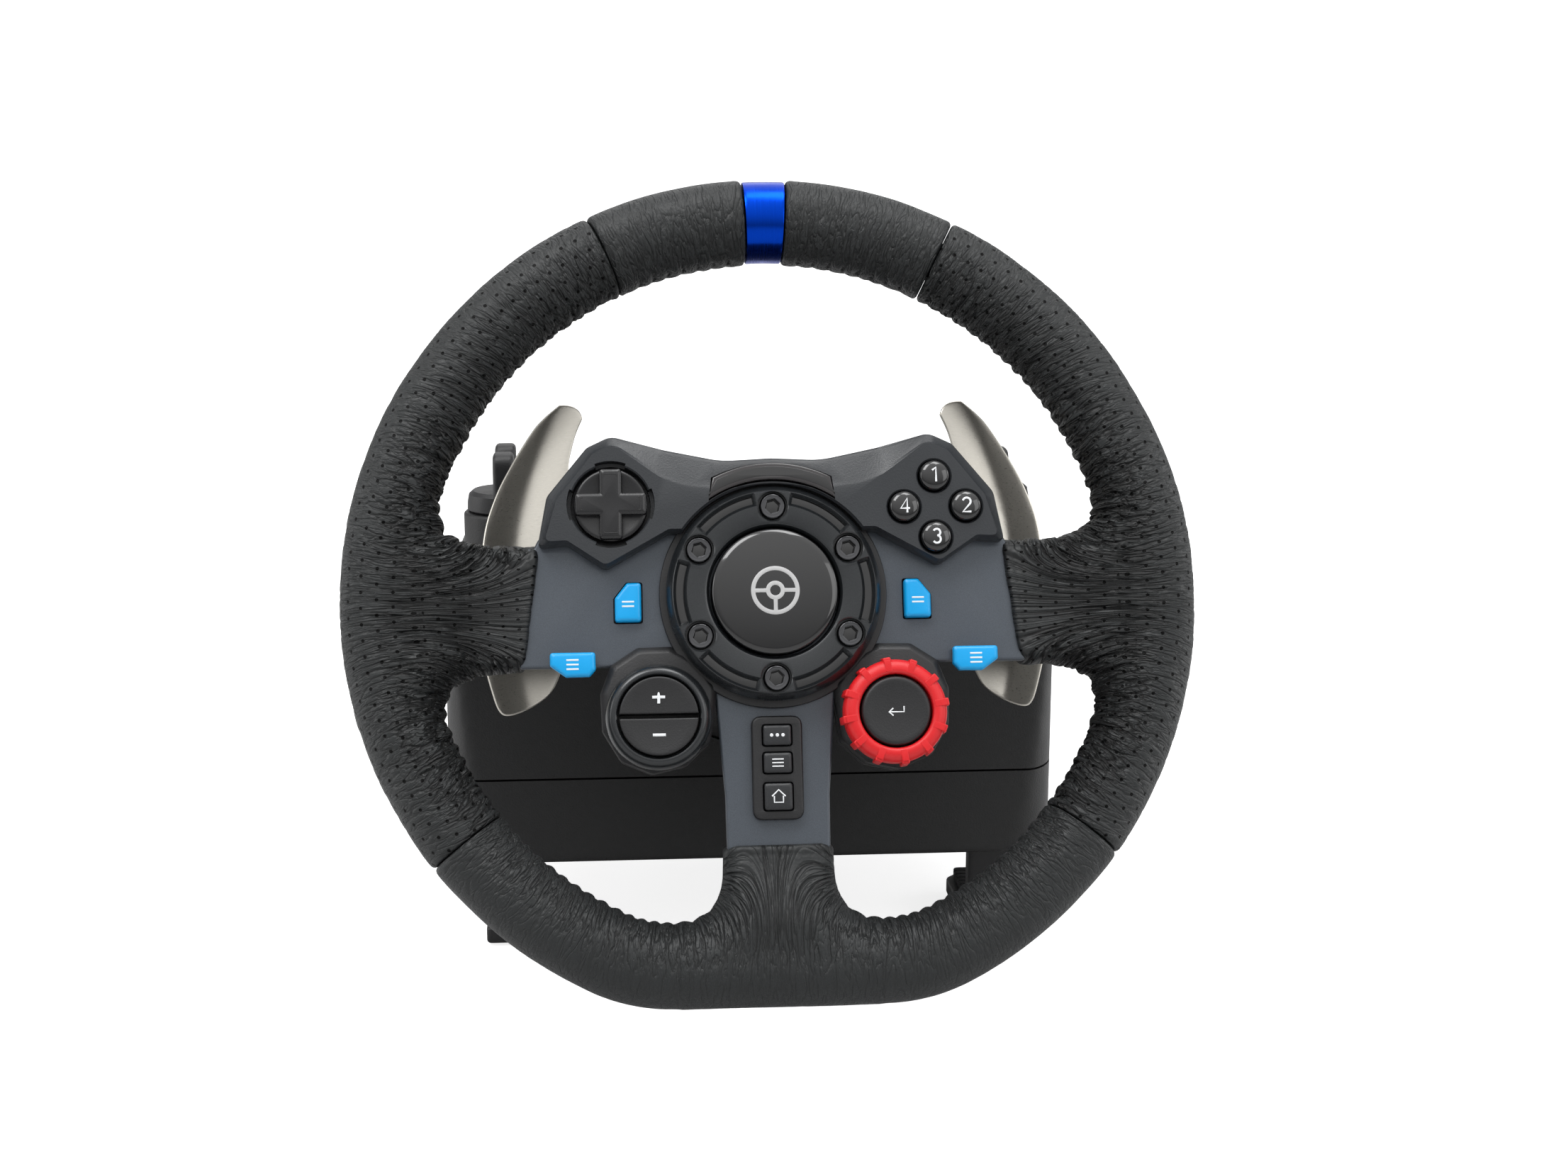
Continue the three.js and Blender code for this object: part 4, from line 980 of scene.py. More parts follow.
def terrace(points, levels, radius):
    """A solid whose outline draws in step by step: levels are (inset, height)."""
    outline = turned_left(points)
    return stacked([rounded(drawn_in(outline, inset), radius) for inset, level in levels],
                   [level for inset, level in levels])


def between(first, second, share):
    """An outline part of the way from one outline to another with the same number of points."""
    return [(a[0] + (b[0] - a[0]) * share, a[1] + (b[1] - a[1]) * share) for a, b in zip(first, second)]


def stacked(rings, levels):
    """A solid through outlines with equal numbers of points, one at each level, lowest first."""
    count = len(rings[0])
    vertices = [(x, y, level) for ring, level in zip(rings, levels) for x, y in ring]
    faces = []
    for ring in range(len(rings) - 1):
        for spot in range(count):
            ahead = (spot + 1) % count
            faces.append((ring * count + spot, ring * count + ahead,
                          (ring + 1) * count + ahead, (ring + 1) * count + spot))
    faces.append(tuple(reversed(range(count))))
    last = (len(rings) - 1) * count
    faces.append(tuple(range(last, last + count)))
    return weld(mesh_of(vertices, faces))


def drill(radius, low, high, cx=0.0, cy=0.0, flare=0.0, top=None, steps=48):
    """A round cutter, widening by a flare where it leaves the surface at the top level."""
    profile = [(0, low), (radius, low)]
    if flare:
        profile += [(radius, top - flare), (radius + flare, top), (radius + flare, high)]
    else:
        profile.append((radius, high))
    profile.append((0, high))
    return lathe(profile, steps, cx, cy)


def ribbon(lines, width, level, thickness=0.12):
    """Printed or inlaid strokes: each line is a list of points, drawn with a constant width."""
    curve = bpy.data.curves.new("strokes", "CURVE")
    curve.dimensions = "3D"
    for line in lines:
        closed = len(line) > 2 and (Vector(line[0]) - Vector(line[-1])).length < 1e-6
        points = line[:-1] if closed else line
        spline = curve.splines.new("POLY")
        spline.points.add(len(points) - 1)
        for point, (x, y) in zip(spline.points, points):
            point.co = (x, y, 0, 1)
        spline.use_cyclic_u = closed
    curve.bevel_depth = width / 2
    curve.bevel_resolution = 2
    curve.use_fill_caps = True
    thing = bpy.data.objects.new("strokes", curve)
    bpy.context.scene.collection.objects.link(thing)
    mesh = bake(thing)
    mesh.transform(Matrix.Translation((0, 0, level)) @ Matrix.Diagonal((1, 1, 2 * thickness / width, 1)))
    return weld(mesh)


# ------------------------------------------------------------------ hub
FASCIA_FRONT = local_box("control_fascia")[1].z
PLATE_FRONT = local_box("spoke_plate")[1].z
PLATE_BACK = local_box("spoke_plate")[0].z
PAD = middle("dpad_pivot").xy
FACES = [middle(f"face_button_{index}").xy for index in range(1, 5)]
POD_RIGHT = middle("enter_button").xy
POD_LEFT = Vector((-POD_RIGHT.x, POD_RIGHT.y))
BOLTS = [middle(f"rim_bolt_{index}").xy for index in range(1, 7)]
HUB_RADIUS = local_box("hub_ring")[1].x
CAP_RADIUS = local_box("hub_cap")[1].x
BLUE_UPPER = middle("blue_button_upper_right").xy
BLUE_LOWER = middle("blue_button_lower_right").xy
BLUE_UPPER_SHAPE = [(-3.95, -5.8), (3.95, -5.8), (3.95, 1.2), (0.3, 5.8), (-3.95, 5.8)]
BLUE_LOWER_SHAPE = [(-5.0, -3.6), (2.0, -3.65), (6.7, -0.3), (6.7, 3.65), (-6.75, 3.65), (-6.85, -1.6)]
KEYS = [local_box(f"menu_key_{name}") for name in ("upper", "middle", "lower")]
WING_HALF = [(0, 41.0), (15, 40.3), (32, 43.8), (48, 48.2), (55.2, 44.8), (67.3, 30), (70.2, 14.8),
             (61.4, 15.6), (50, 7.9), (31, 18.6), (0, 18.6)]
# The raised flat on top of each wing; the space outside it slopes down to the wing's edge.
FLAT_HALF = [(0, 30.5), (14, 31.0), (29.5, 32.2), (47.4, 45.3), (53.4, 42.4), (64.3, 28.6), (68.0, 16.2),
             (61.4, 16.5), (50, 8.9), (31, 19.5), (0, 19.5)]
WING_RADII = [1, 30, 30, 6, 4, 5, 1.6, 2.4, 2.6, 3, 1]
PLATE_HALF = [(0, 32.5), (12, 30), (26, 24), (32, 21), (50, 14), (61, 18), (70, 18), (71.5, 15), (76, 15),
              (76, -21),
              (26, -21), (18, -30), (15.6, -60), (15.4, -76), (0, -76)]
PLATE_RADII = [3, 6, 4, 3, 3, 2, 1, 1, 1, 1, 5, 5, 8, 1, 1]
POD_SHAPE = [(17.2, -27.5), (22.6, -19.4), (31, -15.2), (41, -15.4), (49, -20.6), (52.2, -29), (51.8, -40),
             (46.4, -49.0), (37, -53.0), (27, -50.8), (19.6, -44)]


def mirrored(half, radii):
    """A closed anticlockwise outline and its corner radii, from a right-hand half listed clockwise."""
    pairs = list(zip(half, radii))
    pairs += [((-x, y), radius) for (x, y), radius in reversed(pairs) if x > 1e-6]
    pairs.reverse()
    return [point for point, radius in pairs], [radius for point, radius in pairs]


def build_plate():
    outline = rounded(*mirrored(PLATE_HALF, PLATE_RADII))
    mesh = slab([outline], PLATE_BACK, PLATE_FRONT, 0.9, 4)
    tools = []
    for sign in (-1, 1):
        upper = [(sign * x, y) for x, y in drawn_in(BLUE_UPPER_SHAPE, -0.45)]
        tools.append(slab([shifted(rounded(upper, 0.9), sign * BLUE_UPPER.x, BLUE_UPPER.y)], 0, 9, 0.02))
        tools.append(drill(2.0, 0, 9, sign * BLUE_LOWER.x, BLUE_LOWER.y + 1.2))
    low = KEYS[2][0].y - 0.6
    high = KEYS[0][1].y + 0.6
    tools.append(slab([box_outline(10.6, high - low, 1, 0, (low + high) / 2)], 0, 9, 0.02))
    tools.extend(drill(2.8, 0, 9, *bolt, steps=24) for bolt in BOLTS)
    mesh = carve(mesh, *tools)
    place_mesh("spoke_plate_body", mesh, "slate", "spoke_plate", smooth=32)


def build_fascia():
    wings, radii = mirrored(WING_HALF, WING_RADII)
    flat, _ = mirrored(FLAT_HALF, WING_RADII)
    shares = [(0, 1.5), (0, 9.9), (0.05, 10.5), (0.14, 10.9), (0.82, 12.35), (0.93, 12.75),
              (1.0, FASCIA_FRONT - 0.05)]
    rings = [rounded(between(wings, flat, share), radii) for share, level in shares]
    skirt = [rounded(drawn_in(wings, 0.6), radii), rounded(wings, radii)]
    levels = [PLATE_FRONT - 3.5, PLATE_FRONT - 2.9] + [level for share, level in shares[1:]]
    mesh = stacked(skirt + rings[1:], levels)
    flush = FASCIA_FRONT
    tools = [drill(12.0, 5, 18, *PAD, flare=0.5, top=flush)]
    for turn in range(4):
        sector = arc(0, 0, 13.1, 69, 111, 12) + arc(0, 0, 11.0, 111, 69, 12)
        notch = slab([sector], 8.6, 18, 0.05)
        notch.transform(Matrix.Translation((*PAD, 0)) @ Matrix.Rotation(turn * math.pi / 2, 4, "Z"))
        tools.append(notch)
    tools.extend(drill(5.0, 5, 18, *face, flare=0.45, top=flush) for face in FACES)
    tools.append(drill(HUB_RADIUS + 0.7, PLATE_FRONT + 0.3, 18, flare=0.6, top=12.6, steps=96))
    tools.append(slab([lens_outline(0.4)], 6, 18, 0.02))
    mesh = carve(mesh, *tools)
    place_mesh("fascia_wings", mesh, "charcoal", "control_fascia", smooth=18)
    skirt = slab([rounded(drawn_in(wings, 0.35), radii), rounded(drawn_in(wings, 2.2), radii)], -2.2, 3.2,
                 0.2)
    place_mesh("fascia_skirt", skirt, "charcoal", "control_fascia", smooth=30)
    seat = slab([circle(HUB_RADIUS + 2.0, steps=96), circle(CAP_RADIUS + 2, steps=64)], PLATE_FRONT - 1.5,
                8.3, 0.4)
    seat = carve(seat, *(drill(2.8, 0, 12, *bolt, steps=24) for bolt in BOLTS))
    place_mesh("fascia_hub_seat", seat, "black_plastic", "control_fascia")
    for side, sign in (("left", -1), ("right", 1)):
        shape = [(sign * x, y) for x, y in POD_SHAPE]
        pod = terrace(shape, [(0.5, -1.5), (0, -1.0), (0, 6.9), (0.3, 7.5), (1.7, 8.8), (2.2, 9.0)], 3.0)
        centre = POD_LEFT if sign < 0 else POD_RIGHT
        hub_clear = slab([circle(HUB_RADIUS + 0.7, steps=96)], PLATE_FRONT + 0.1, 14, 0.02)
        radius, floor = (12.2, 5) if sign < 0 else (3.6, local_box("enter_button")[0].z - 1.5)
        pod = carve(pod, hub_clear, drill(radius, floor, 14, *centre))
        place_mesh(f"fascia_pod_{side}", pod, "black_plastic", "control_fascia", smooth=24)
    ring = [(12.2, 7.5), (12.2, 12.3), (12.45, 12.75), (12.9, 12.95), (13.5, 12.9), (14.3, 12.4),
            (15.1, 11.4),
            (15.6, 10.1), (15.8, 8.8), (15.8, 7.5), (12.2, 7.5)]
    collar = lathe(ring, 96, *POD_LEFT)
    place_mesh("fascia_pod_collar", collar, "satin_black", "control_fascia", smooth=50)


def lens_outline(grow):
    """The rev light window: an arc with its two upper corners cut off."""
    inner, outer, reach = HUB_RADIUS + 1.8 - grow, HUB_RADIUS + 6.8 + grow, 34 + grow
    cut = 7
    return (arc(0, 0, outer, 90 - reach + cut, 90 + reach - cut, 32) +
            arc(0, 0, inner, 90 + reach, 90 - reach, 32))


def build_lens():
    low, high = local_box("rev_light_lens")
    mesh = slab([lens_outline(0)], low.z, high.z - 0.1, 0.5, 3)
    place_mesh("rev_light_window", mesh, "lens", "rev_light_lens")
    dark = slab([lens_outline(-1.1)], high.z - 0.3, high.z - 0.02, 0.1)
    place_mesh("rev_light_frame", dark, "gloss_black", "rev_light_lens")


SLOT_INNER, SLOT_OUTER = 27.0, 29.4
SLOT_HALF = 18


def build_hub_ring():
    low, high = local_box("hub_ring")
    inner, outer = CAP_RADIUS + 0.5, HUB_RADIUS
    front, back = high.z, low.z
    profile = [(inner, back), (outer - 0.6, back), (outer, back + 0.6), (outer, front - 3.9),
               (outer - 0.25, front - 3.2), (outer - 1.75, front - 0.45), (outer - 2.3, front),
               (inner + 1.5, front), (inner + 0.8, front - 0.25), (inner + 0.3, front - 0.9),
               (inner, front - 1.6), (inner, back)]
    mesh = lathe(profile, 160)
    tools = []
    for bolt in BOLTS:
        tools.append(drill(4.5, 12, 20, *bolt, flare=0.35, top=front))
        tools.append(drill(2.9, back - 1, 12.5, *bolt, steps=24))
    shaded_slot_floors = []
    for step in range(6):
        middle_turn = step * 60
        floor = arc(0, 0, SLOT_OUTER, middle_turn - SLOT_HALF, middle_turn + SLOT_HALF, 24)
        floor += arc(0, 0, SLOT_INNER, middle_turn + SLOT_HALF, middle_turn - SLOT_HALF, 24)
        mouth = drawn_in(floor, -0.9)
        tools.append(stacked([floor, floor, mouth, mouth],
                             [front - 2.4, front - 1.2, front - 0.1, front + 3]))
        # Painted shade: a gloss black floor, darker than the satin ring, sits at the bottom of each slot so
        # that the slot reads as deep and shaded.
        shaded_slot_floors.append(slab([drawn_in(floor, 0.05)], front - 2.6, front - 2.2, 0.02))
    mesh = soften(carve(mesh, *tools), 0.22, 2, 40)
    place_mesh("hub_ring_body", mesh, "satin_black", "hub_ring", smooth=30)
    place_mesh("hub_ring_slot_shade_floors", merge(*shaded_slot_floors), "gloss_black", "hub_ring")


def dome(radius):
    """Height of the glossy cap at a distance from its centre."""
    top = local_box("hub_cap")[1].z - 0.05
    return top - 1.9 * (radius / CAP_RADIUS) ** 2.2


MARK_RADIUS, MARK_HUB = 6.6, 2.2


def build_cap():
    low = local_box("hub_cap")[0].z
    edge = CAP_RADIUS - 0.1
    profile = [(0, low), (edge, low), (edge, dome(edge) - 1.0), (edge - 0.25, dome(edge) - 0.3),
               (edge - 0.8, dome(edge - 0.8))]
    profile += [(r, dome(r)) for r in np.linspace(edge - 2, 0.0, 16)]
    place_mesh("hub_cap_dome", lathe(profile, 128), "gloss_black", "hub_cap", smooth=40)
    # The mark is a plain pictogram of a steering wheel: a ring, a hub and three spokes.
    ring, hub = circle(MARK_RADIUS, steps=64), circle(MARK_HUB, steps=32)
    lines = [ring + ring[:1], hub + hub[:1]]
    for turn in (180, 0, -90):
        c, s = math.cos(math.radians(turn)), math.sin(math.radians(turn))
        lines.append([(MARK_HUB * c, MARK_HUB * s), ((MARK_RADIUS - 0.2) * c, (MARK_RADIUS - 0.2) * s)])
    mark = ribbon(lines, 1.25, 0, 0.1)
    reshape(mark, lambda v: Vector((v.x, v.y, v.z + dome(math.hypot(v.x, v.y)))))
    place_mesh("hub_cap_mark", mark, "grey_ink", "hub_cap", smooth=60)


def build_bolts():
    for index, bolt in enumerate(BOLTS, 1):
        low, high = local_box(f"rim_bolt_{index}")
        seat = high.z - 2.5
        profile = [(0, low.z), (2.0, low.z), (2.4, low.z + 0.5), (2.4, seat), (3.9, seat),
                   (3.95, high.z - 0.7),
                   (3.7, high.z - 0.25), (3.35, high.z - 0.05), (3.0, high.z - 0.12), (2.75, high.z - 0.12),
                   (0, high.z - 0.1)]
        socket = slab([[(2.35 * math.cos(math.radians(a)), 2.35 * math.sin(math.radians(a)))
                        for a in range(15, 375, 60)]], high.z - 1.9, high.z + 2, 0.02)
        mesh = carve(lathe(profile, 48), socket)
        mesh = soften(mesh, 0.14, 2, 45)
        mesh.transform(Matrix.Translation((bolt.x, bolt.y, 0)))
        # Painted shade: a gloss black disc at the bottom of each hex socket darkens it, where the head's own
        # metal would only lie in shade.
        floor = lathe([(0, high.z - 1.95), (2.2, high.z - 1.95), (2.2, high.z - 1.85), (0.9, high.z - 1.7),
                       (0, high.z - 1.7)], 24, bolt.x, bolt.y)
        place_mesh(f"rim_bolt_{index}_socket", floor, "gloss_black", f"rim_bolt_{index}")
        place_mesh(f"rim_bolt_{index}_head", mesh, "bolt", f"rim_bolt_{index}", smooth=35)


def build_band():
    """Anodised band at the top of the rim, a little slimmer than the leather."""
    half = 6.0
    top = corner_end + GRIP_CENTRE * (math.pi - corner_turn)
    steps = [(-half, 1.0), (-half, 0.45), (-half + 0.15, 0.1), (-half + 0.5, 0.0)]
    steps += [(along, 0.0) for along in np.linspace(-half + 1, half - 1, 9)]
    steps += [(half - 0.5, 0.0), (half - 0.15, 0.1), (half, 0.45), (half, 1.0)]
    around = 96
    power = 2.25
    vertices, faces = [], []
    for along, trim in steps:
        for spot in range(around):
            turn = 2 * math.pi * spot / around
            c, s = math.cos(turn), math.sin(turn)
            reach = (abs(c) ** power + abs(s) ** power) ** (-1 / power)
            across = (GRIP_WIDTH / 2 - 0.85 - trim) * reach * c
            depth = (GRIP_DEPTH / 2 - 0.85 - trim) * reach * s
            x, y = rim_point(top + along, across)
            vertices.append((x, y, depth))
    for ring in range(len(steps) - 1):
        for spot in range(around):
            ahead = (spot + 1) % around
            faces.append((ring * around + spot, ring * around + ahead,
                          (ring + 1) * around + ahead, (ring + 1) * around + spot))
    faces.append(tuple(reversed(range(around))))
    faces.append(tuple(range((len(steps) - 1) * around, len(steps) * around)))
    mesh = weld(mesh_of(vertices, faces))
    place_mesh("centre_marker_sleeve", mesh, "anodised", "centre_marker_band", smooth=40)


# ------------------------------------------------------------------ controls
NUMERALS = {
    1: [[(-0.75, 1.15), (0.25, 1.9), (0.25, -1.9)]],
    2: [arc(0, 0.85, 1.05, 165, -35, 14) + [(-1.1, -1.9), (1.15, -1.9)]],
    3: [arc(-0.05, 0.9, 0.95, 150, -80, 14), arc(-0.05, -0.9, 1.02, 85, -150, 14)],
    4: [[(0.55, -1.9), (0.55, 1.9), (-1.2, -0.75), (1.25, -0.75)]],
}


def mark_on(name, lines, width, centre, level, node, look="white_ink", shape=None):
    mesh = ribbon([shifted(line, *centre) for line in lines], width, level, 0.09)
    if shape is not None:
        reshape(mesh, shape)
    place_mesh(name, mesh, look, node, smooth=60)


def build_face_buttons():
    for index, place in enumerate(FACES, 1):
        node = f"face_button_{index}"
        low, high = local_box(node)
        top = high.z - 0.1
        profile = [(0, low.z), (4.55, low.z), (4.55, top - 1.7), (4.4, top - 1.15), (4.0, top - 0.7),
                   (3.4, top - 0.42), (2.5, top - 0.18), (1.3, top - 0.05), (0, top)]
        mesh = lathe(profile, 64, *place)
        place_mesh(node + "_dome", mesh, "gloss_black", node, smooth=50)
        numeral = [[(1.12 * x, 1.12 * y) for x, y in line] for line in NUMERALS[index]]
        mark_on(node + "_numeral", numeral, 0.62, place, top - 0.02, node)


def build_direction_pad():
    low, high = local_box("dpad")
    disc_profile = [(0, low.z), (11.0, low.z), (11.0, 11.2), (10.85, 11.7), (10.4, 12.0), (9.9, 12.05),
                    (9.3, 11.8),
                    (0, 11.5)]
    disc = lathe(disc_profile, 96)
    arm = 3.3
    tip = 10.6
    cross = [(arm, arm), (arm, tip), (-arm, tip), (-arm, arm), (-tip, arm), (-tip, -arm), (-arm, -arm),
             (-arm, -tip), (arm, -tip), (arm, -arm), (tip, -arm), (tip, arm)]
    top = high.z - 0.05
    levels = [(0, 10.5), (0, top - 1.2), (0.18, top - 0.55), (0.6, top - 0.18), (1.15, top)]
    body = terrace(cross, levels, [0.35, 0.9, 0.9] * 4)
    dish = lathe([(0, top - 0.35), (3.2, top + 0.02), (3.2, top + 2), (0, top + 2)], 48)
    body = carve(body, dish)
    mesh = merge(disc, body)
    mesh.transform(Matrix.Translation((*PAD, 0)))
    place_mesh("dpad_cross", mesh, "pad_plastic", "dpad", smooth=30)
    for turn in range(4):
        angle = turn * math.pi / 2
        lines = [[(-1.9, 8.9), (1.9, 8.9)], [(-1.9, 8.9), (-1.9, 8.2)], [(1.9, 8.9), (1.9, 8.2)]]
        mesh = ribbon(lines, 0.3, top, 0.14)
        mesh.transform(Matrix.Translation((*PAD, 0)) @ Matrix.Rotation(angle, 4, "Z"))
        place_mesh(f"dpad_ridge_{turn + 1}", mesh, "pad_plastic", "dpad", smooth=60)


def build_blue_buttons():
    for side, sign in (("left", -1), ("right", 1)):
        for level, shape, place, stem in (("upper", BLUE_UPPER_SHAPE, BLUE_UPPER, None),
                                          ("lower", BLUE_LOWER_SHAPE, BLUE_LOWER, 2.4)):
            node = f"blue_button_{level}_{side}"
            low, high = local_box(node)
            outline = [(sign * x, y) for x, y in shape]
            base = low.z if stem is None else 7.9
            top = high.z - 0.02
            levels = [(0.15, base), (0, base + 0.3), (0, top - 1.0), (0.2, top - 0.5), (0.62, top - 0.14),
                      (1.2, top)]
            mesh = terrace(outline, levels, 1.0)
            if stem is not None:
                mesh = merge(mesh, drill(1.4, low.z, base + 0.6, 0, stem - 1.2))
            mesh.transform(Matrix.Translation((sign * place.x, place.y, 0)))
            place_mesh(node + "_cap", mesh, "blue", node, smooth=28)
            count = 2 if level == "upper" else 3
            lines = [[(-1.8, y), (1.8, y)] for y in (np.arange(count) - (count - 1) / 2) * 1.35]
            centre = (sign * place.x, place.y - (0.6 if level == "upper" else 0.0))
            mark_on(node + "_bars", lines, 0.5, centre, top, node)


def build_plus_minus():
    radius, gap = 11.7, 0.65
    for node, sign in (("plus_button", 1), ("minus_button", -1)):
        low, high = local_box(node)
        start = math.degrees(math.asin(gap / radius))
        outline = arc(0, 0, radius, start, 180 - start, 40)
        top = high.z - 0.05
        mesh = dense(slab([outline], low.z, top, 0.5, 4), 2.5)
        reshape(mesh, lambda v: Vector((v.x, v.y, v.z - (dished(v.x, v.y) if v.z > top - 1.5 else 0))))
        mesh.transform(Matrix.Translation((*POD_LEFT, 0)) @
                       Matrix.Rotation(0 if sign > 0 else math.pi, 4, "Z"))
        place_mesh(node + "_half", mesh, "black_plastic", node, smooth=35)
        lines = [[(-1.9, 0), (1.9, 0)]]
        if sign > 0:
            lines.append([(0, -1.9), (0, 1.9)])
        place = (POD_LEFT.x, POD_LEFT.y + sign * 5.6)
        mark_on(node + "_sign", lines, 0.85, place, top - dished(0, 5.6) + 0.02, node)


def dished(x, y):
    """How far the plus and minus halves are hollowed at a place, in millimetres."""
    return 0.7 * max(0.0, 1 - (x * x + y * y) / 121)


def build_dial():
    low, high = local_box("selector_dial")
    top = high.z - 0.05
    profile = [(10.9, low.z), (15.0, low.z), (15.35, low.z + 0.4), (15.35, top - 2.4), (15.0, top - 1.3),
               (14.2, top - 0.55), (13.2, top - 0.12), (12.4, top), (11.7, top - 0.1), (11.2, top - 0.5),
               (10.95, top - 1.1), (10.9, low.z)]
    ring = lathe(profile, 144)
    ribs = []
    for index in range(12):
        rib = slab([box_outline(2.5, 2.3, 0.5, 15.15, 0)], low.z + 0.2, 16.8, 0.35, 3)
        reshape(rib, lambda v: Vector((v.x - max(0, v.z - 14.5) * 0.22, v.y, v.z)))
        rib.transform(Matrix.Rotation(math.radians(index * 30 + 9), 4, "Z"))
        ribs.append(rib)
        ridge = slab([box_outline(3.4, 2.0, 0.4, 13.4, 0)], top - 1.6, top + 0.02, 0.12, 2)
        ridge.transform(Matrix.Rotation(math.radians(index * 30 + 9), 4, "Z"))
        ribs.append(ridge)
    mesh = merge(ring, *ribs)
    mesh.transform(Matrix.Translation((*POD_RIGHT, 0)))
    place_mesh("selector_dial_grip", mesh, "red", "selector_dial", smooth=35)


def build_enter():
    low, high = local_box("enter_button")
    top = high.z - 0.05
    profile = [(0, low.z), (3, low.z), (3, 11), (10.3, 11), (10.3, top - 0.9), (10.1, top - 0.35),
               (9.6, top - 0.05),
               (9.1, top)]
    profile += [(r, top - 0.55 * (1 - (r / 9.1) ** 2)) for r in np.linspace(8.4, 0, 9)]
    dish = lathe(profile, 96, *POD_RIGHT)
    place_mesh("enter_button_dish", dish, "black_plastic", "enter_button", smooth=50)
    lines = [[(2.3, 1.3), (2.3, -0.35), (-2.1, -0.35)], [(-0.9, 0.75), (-2.2, -0.35), (-0.9, -1.45)]]
    mark_on("enter_button_arrow", lines, 0.42, POD_RIGHT, top - 0.5, "enter_button")


def build_keys():
    low, high = local_box("key_bezel")
    centre = (low + high) / 2
    size = high - low
    outline = box_outline(size.x, size.y, 3.2, 0, centre.y)
    mesh = slab([outline], low.z, high.z - 0.05, 0.9, 4)
    tools = []
    for key_low, key_high in KEYS:
        middle_y = (key_low.y + key_high.y) / 2
        tools.append(slab([box_outline(9.2, key_high.y - key_low.y + 0.8, 1.2, 0, middle_y)], 0, 14, 0.02))
    mesh = soften(carve(mesh, *tools), 0.15, 2, 50)
    place_mesh("key_bezel_frame", mesh, "black_plastic", "key_bezel", smooth=35)
    dots = [circle(0.28, x, 0, 12) for x in (-1.7, 0, 1.7)]
    marks = {
        "upper": ([dot + dot[:1] for dot in dots], 0.5),
        "middle": ([[(-1.7, y), (1.7, y)] for y in (-1.05, 0, 1.05)], 0.36),
        "lower": ([[(-2.0, 0.1), (0, 2.0), (2.0, 0.1)], [(-1.35, 0.2), (-1.35, -1.7), (1.35, -1.7),
                                                         (1.35, 0.2)]],
                  0.42),
    }
    for (key_low, key_high), (name, (lines, width)) in zip(KEYS, marks.items()):
        node = f"menu_key_{name}"
        middle_y = (key_low.y + key_high.y) / 2
        height = key_high.y - key_low.y
        top = key_high.z - 0.05
        corners = [(-4.2, -height / 2), (4.2, -height / 2), (4.2, height / 2), (-4.2, height / 2)]
        levels = [(0, key_low.z), (0, top - 0.9), (0.15, top - 0.4), (0.5, top - 0.08), (0.9, top)]
        mesh = terrace(corners, levels, 0.9)
        mesh.transform(Matrix.Translation((0, middle_y, 0)))
        place_mesh(node + "_cap", mesh, "charcoal_dark", node, smooth=30)
        mark_on(node + "_sign", lines, width, (0, middle_y), top, node)


# ------------------------------------------------------------------ paddles and rear housing
PADDLE_OUTER = [(63.8, 65.0), (68.6, 61.2), (72.5, 57.0), (79, 46.9), (84.5, 36.2), (88.2, 23.5), (89.6, 2),
                (88.6, -14),
                (86.6, -23)]
PADDLE_LOBE = [(86.6, -23), (84, -30.6), (80.3, -32.4), (72.5, -29.6), (66.3, -24), (62, -12)]
PADDLE_INNER = [(44, 15), (56, 28), (61.0, 42), (59.5, 53), (56.6, 60.5)]
PADDLE_ROOT = [(30, -12), (30, 12)]


def spline_points(points, steps=8, closed=False):
    """A smooth curve through points (Catmull-Rom)."""
    result = []
    count = len(points)
    last = count if closed else count - 1
    for index in range(last):
        p = [Vector(points[(index + k) % count] if closed else points[min(max(index + k, 0), count - 1)])
             for k in (-1, 0, 1, 2)]
        for step in range(steps):
            t = step / steps
            place = 0.5 * (2 * p[1] + (p[2] - p[0]) * t + (2 * p[0] - 5 * p[1] + 4 * p[2] - p[3]) * t ** 2
                           + (3 * p[1] - p[0] - 3 * p[2] + p[3]) * t ** 3)
            result.append((place.x, place.y))
    if not closed:
        result.append(tuple(points[-1]))
    return result


PADDLE_THICKNESS = 1.9


def build_paddles():
    for side, sign in (("left", -1), ("right", 1)):
        node = f"shift_paddle_{side}"
        low, high = local_box(node)
        level = (low.z + high.z) / 2
        half = PADDLE_THICKNESS / 2
        outline = (spline_points(PADDLE_OUTER, 6) + spline_points(PADDLE_LOBE, 6)[1:] + PADDLE_ROOT +
                   spline_points(PADDLE_INNER, 6) + bend(PADDLE_INNER[-1], (57.6, 65.2), PADDLE_OUTER[0],
                                                         8)[:-1])
        outline = [(sign * x, y) for x, y in outline]
        mesh = slab([turned_left(outline)], level - half, level + half, 0.55, 3)
        mesh = dense(mesh, 1.8)
        reshape(mesh, paddle_form)
        place_mesh(node + "_blade", mesh, "paddle", node, smooth=30)
        x = sign * middle_pin(side)
        barrel = [(1.7, -16.8), (3.0, -16.8), (3.1, -16.2), (3.1, 16.2), (3.0, 16.8), (1.7, 16.8),
                  (1.7, -16.8)]
        tube = lathe(barrel, 40)
        tube.transform(Matrix.Translation((x, 0, level)) @ Matrix.Rotation(-math.pi / 2, 4, "X"))
        place_mesh(node + "_barrel", tube, "dark_steel", node)
        rivets = merge(*(lathe([(0, 0), (2.0, 0), (1.9, 0.5), (1.3, 0.95), (0, 1.15)], 32, sign * 38, y)
                         for y in (-6, 6)))
        rivets.transform(Matrix.Translation((0, 0, level + 0.6)))
        place_mesh(node + "_rivets", rivets, "dark_steel", node, smooth=40)


def middle_pin(side):
    joint = next(j for j in frame["joints"] if j["name"] == f"paddle_{side}_pull")
    return abs((WHEEL.inverted() @ Vector(joint["pos_m"])).x)


def paddle_crease(y):
    """How far from the middle the crease between a paddle's two facets runs."""
    return 78.6 - 0.0038 * (y - 5) ** 2


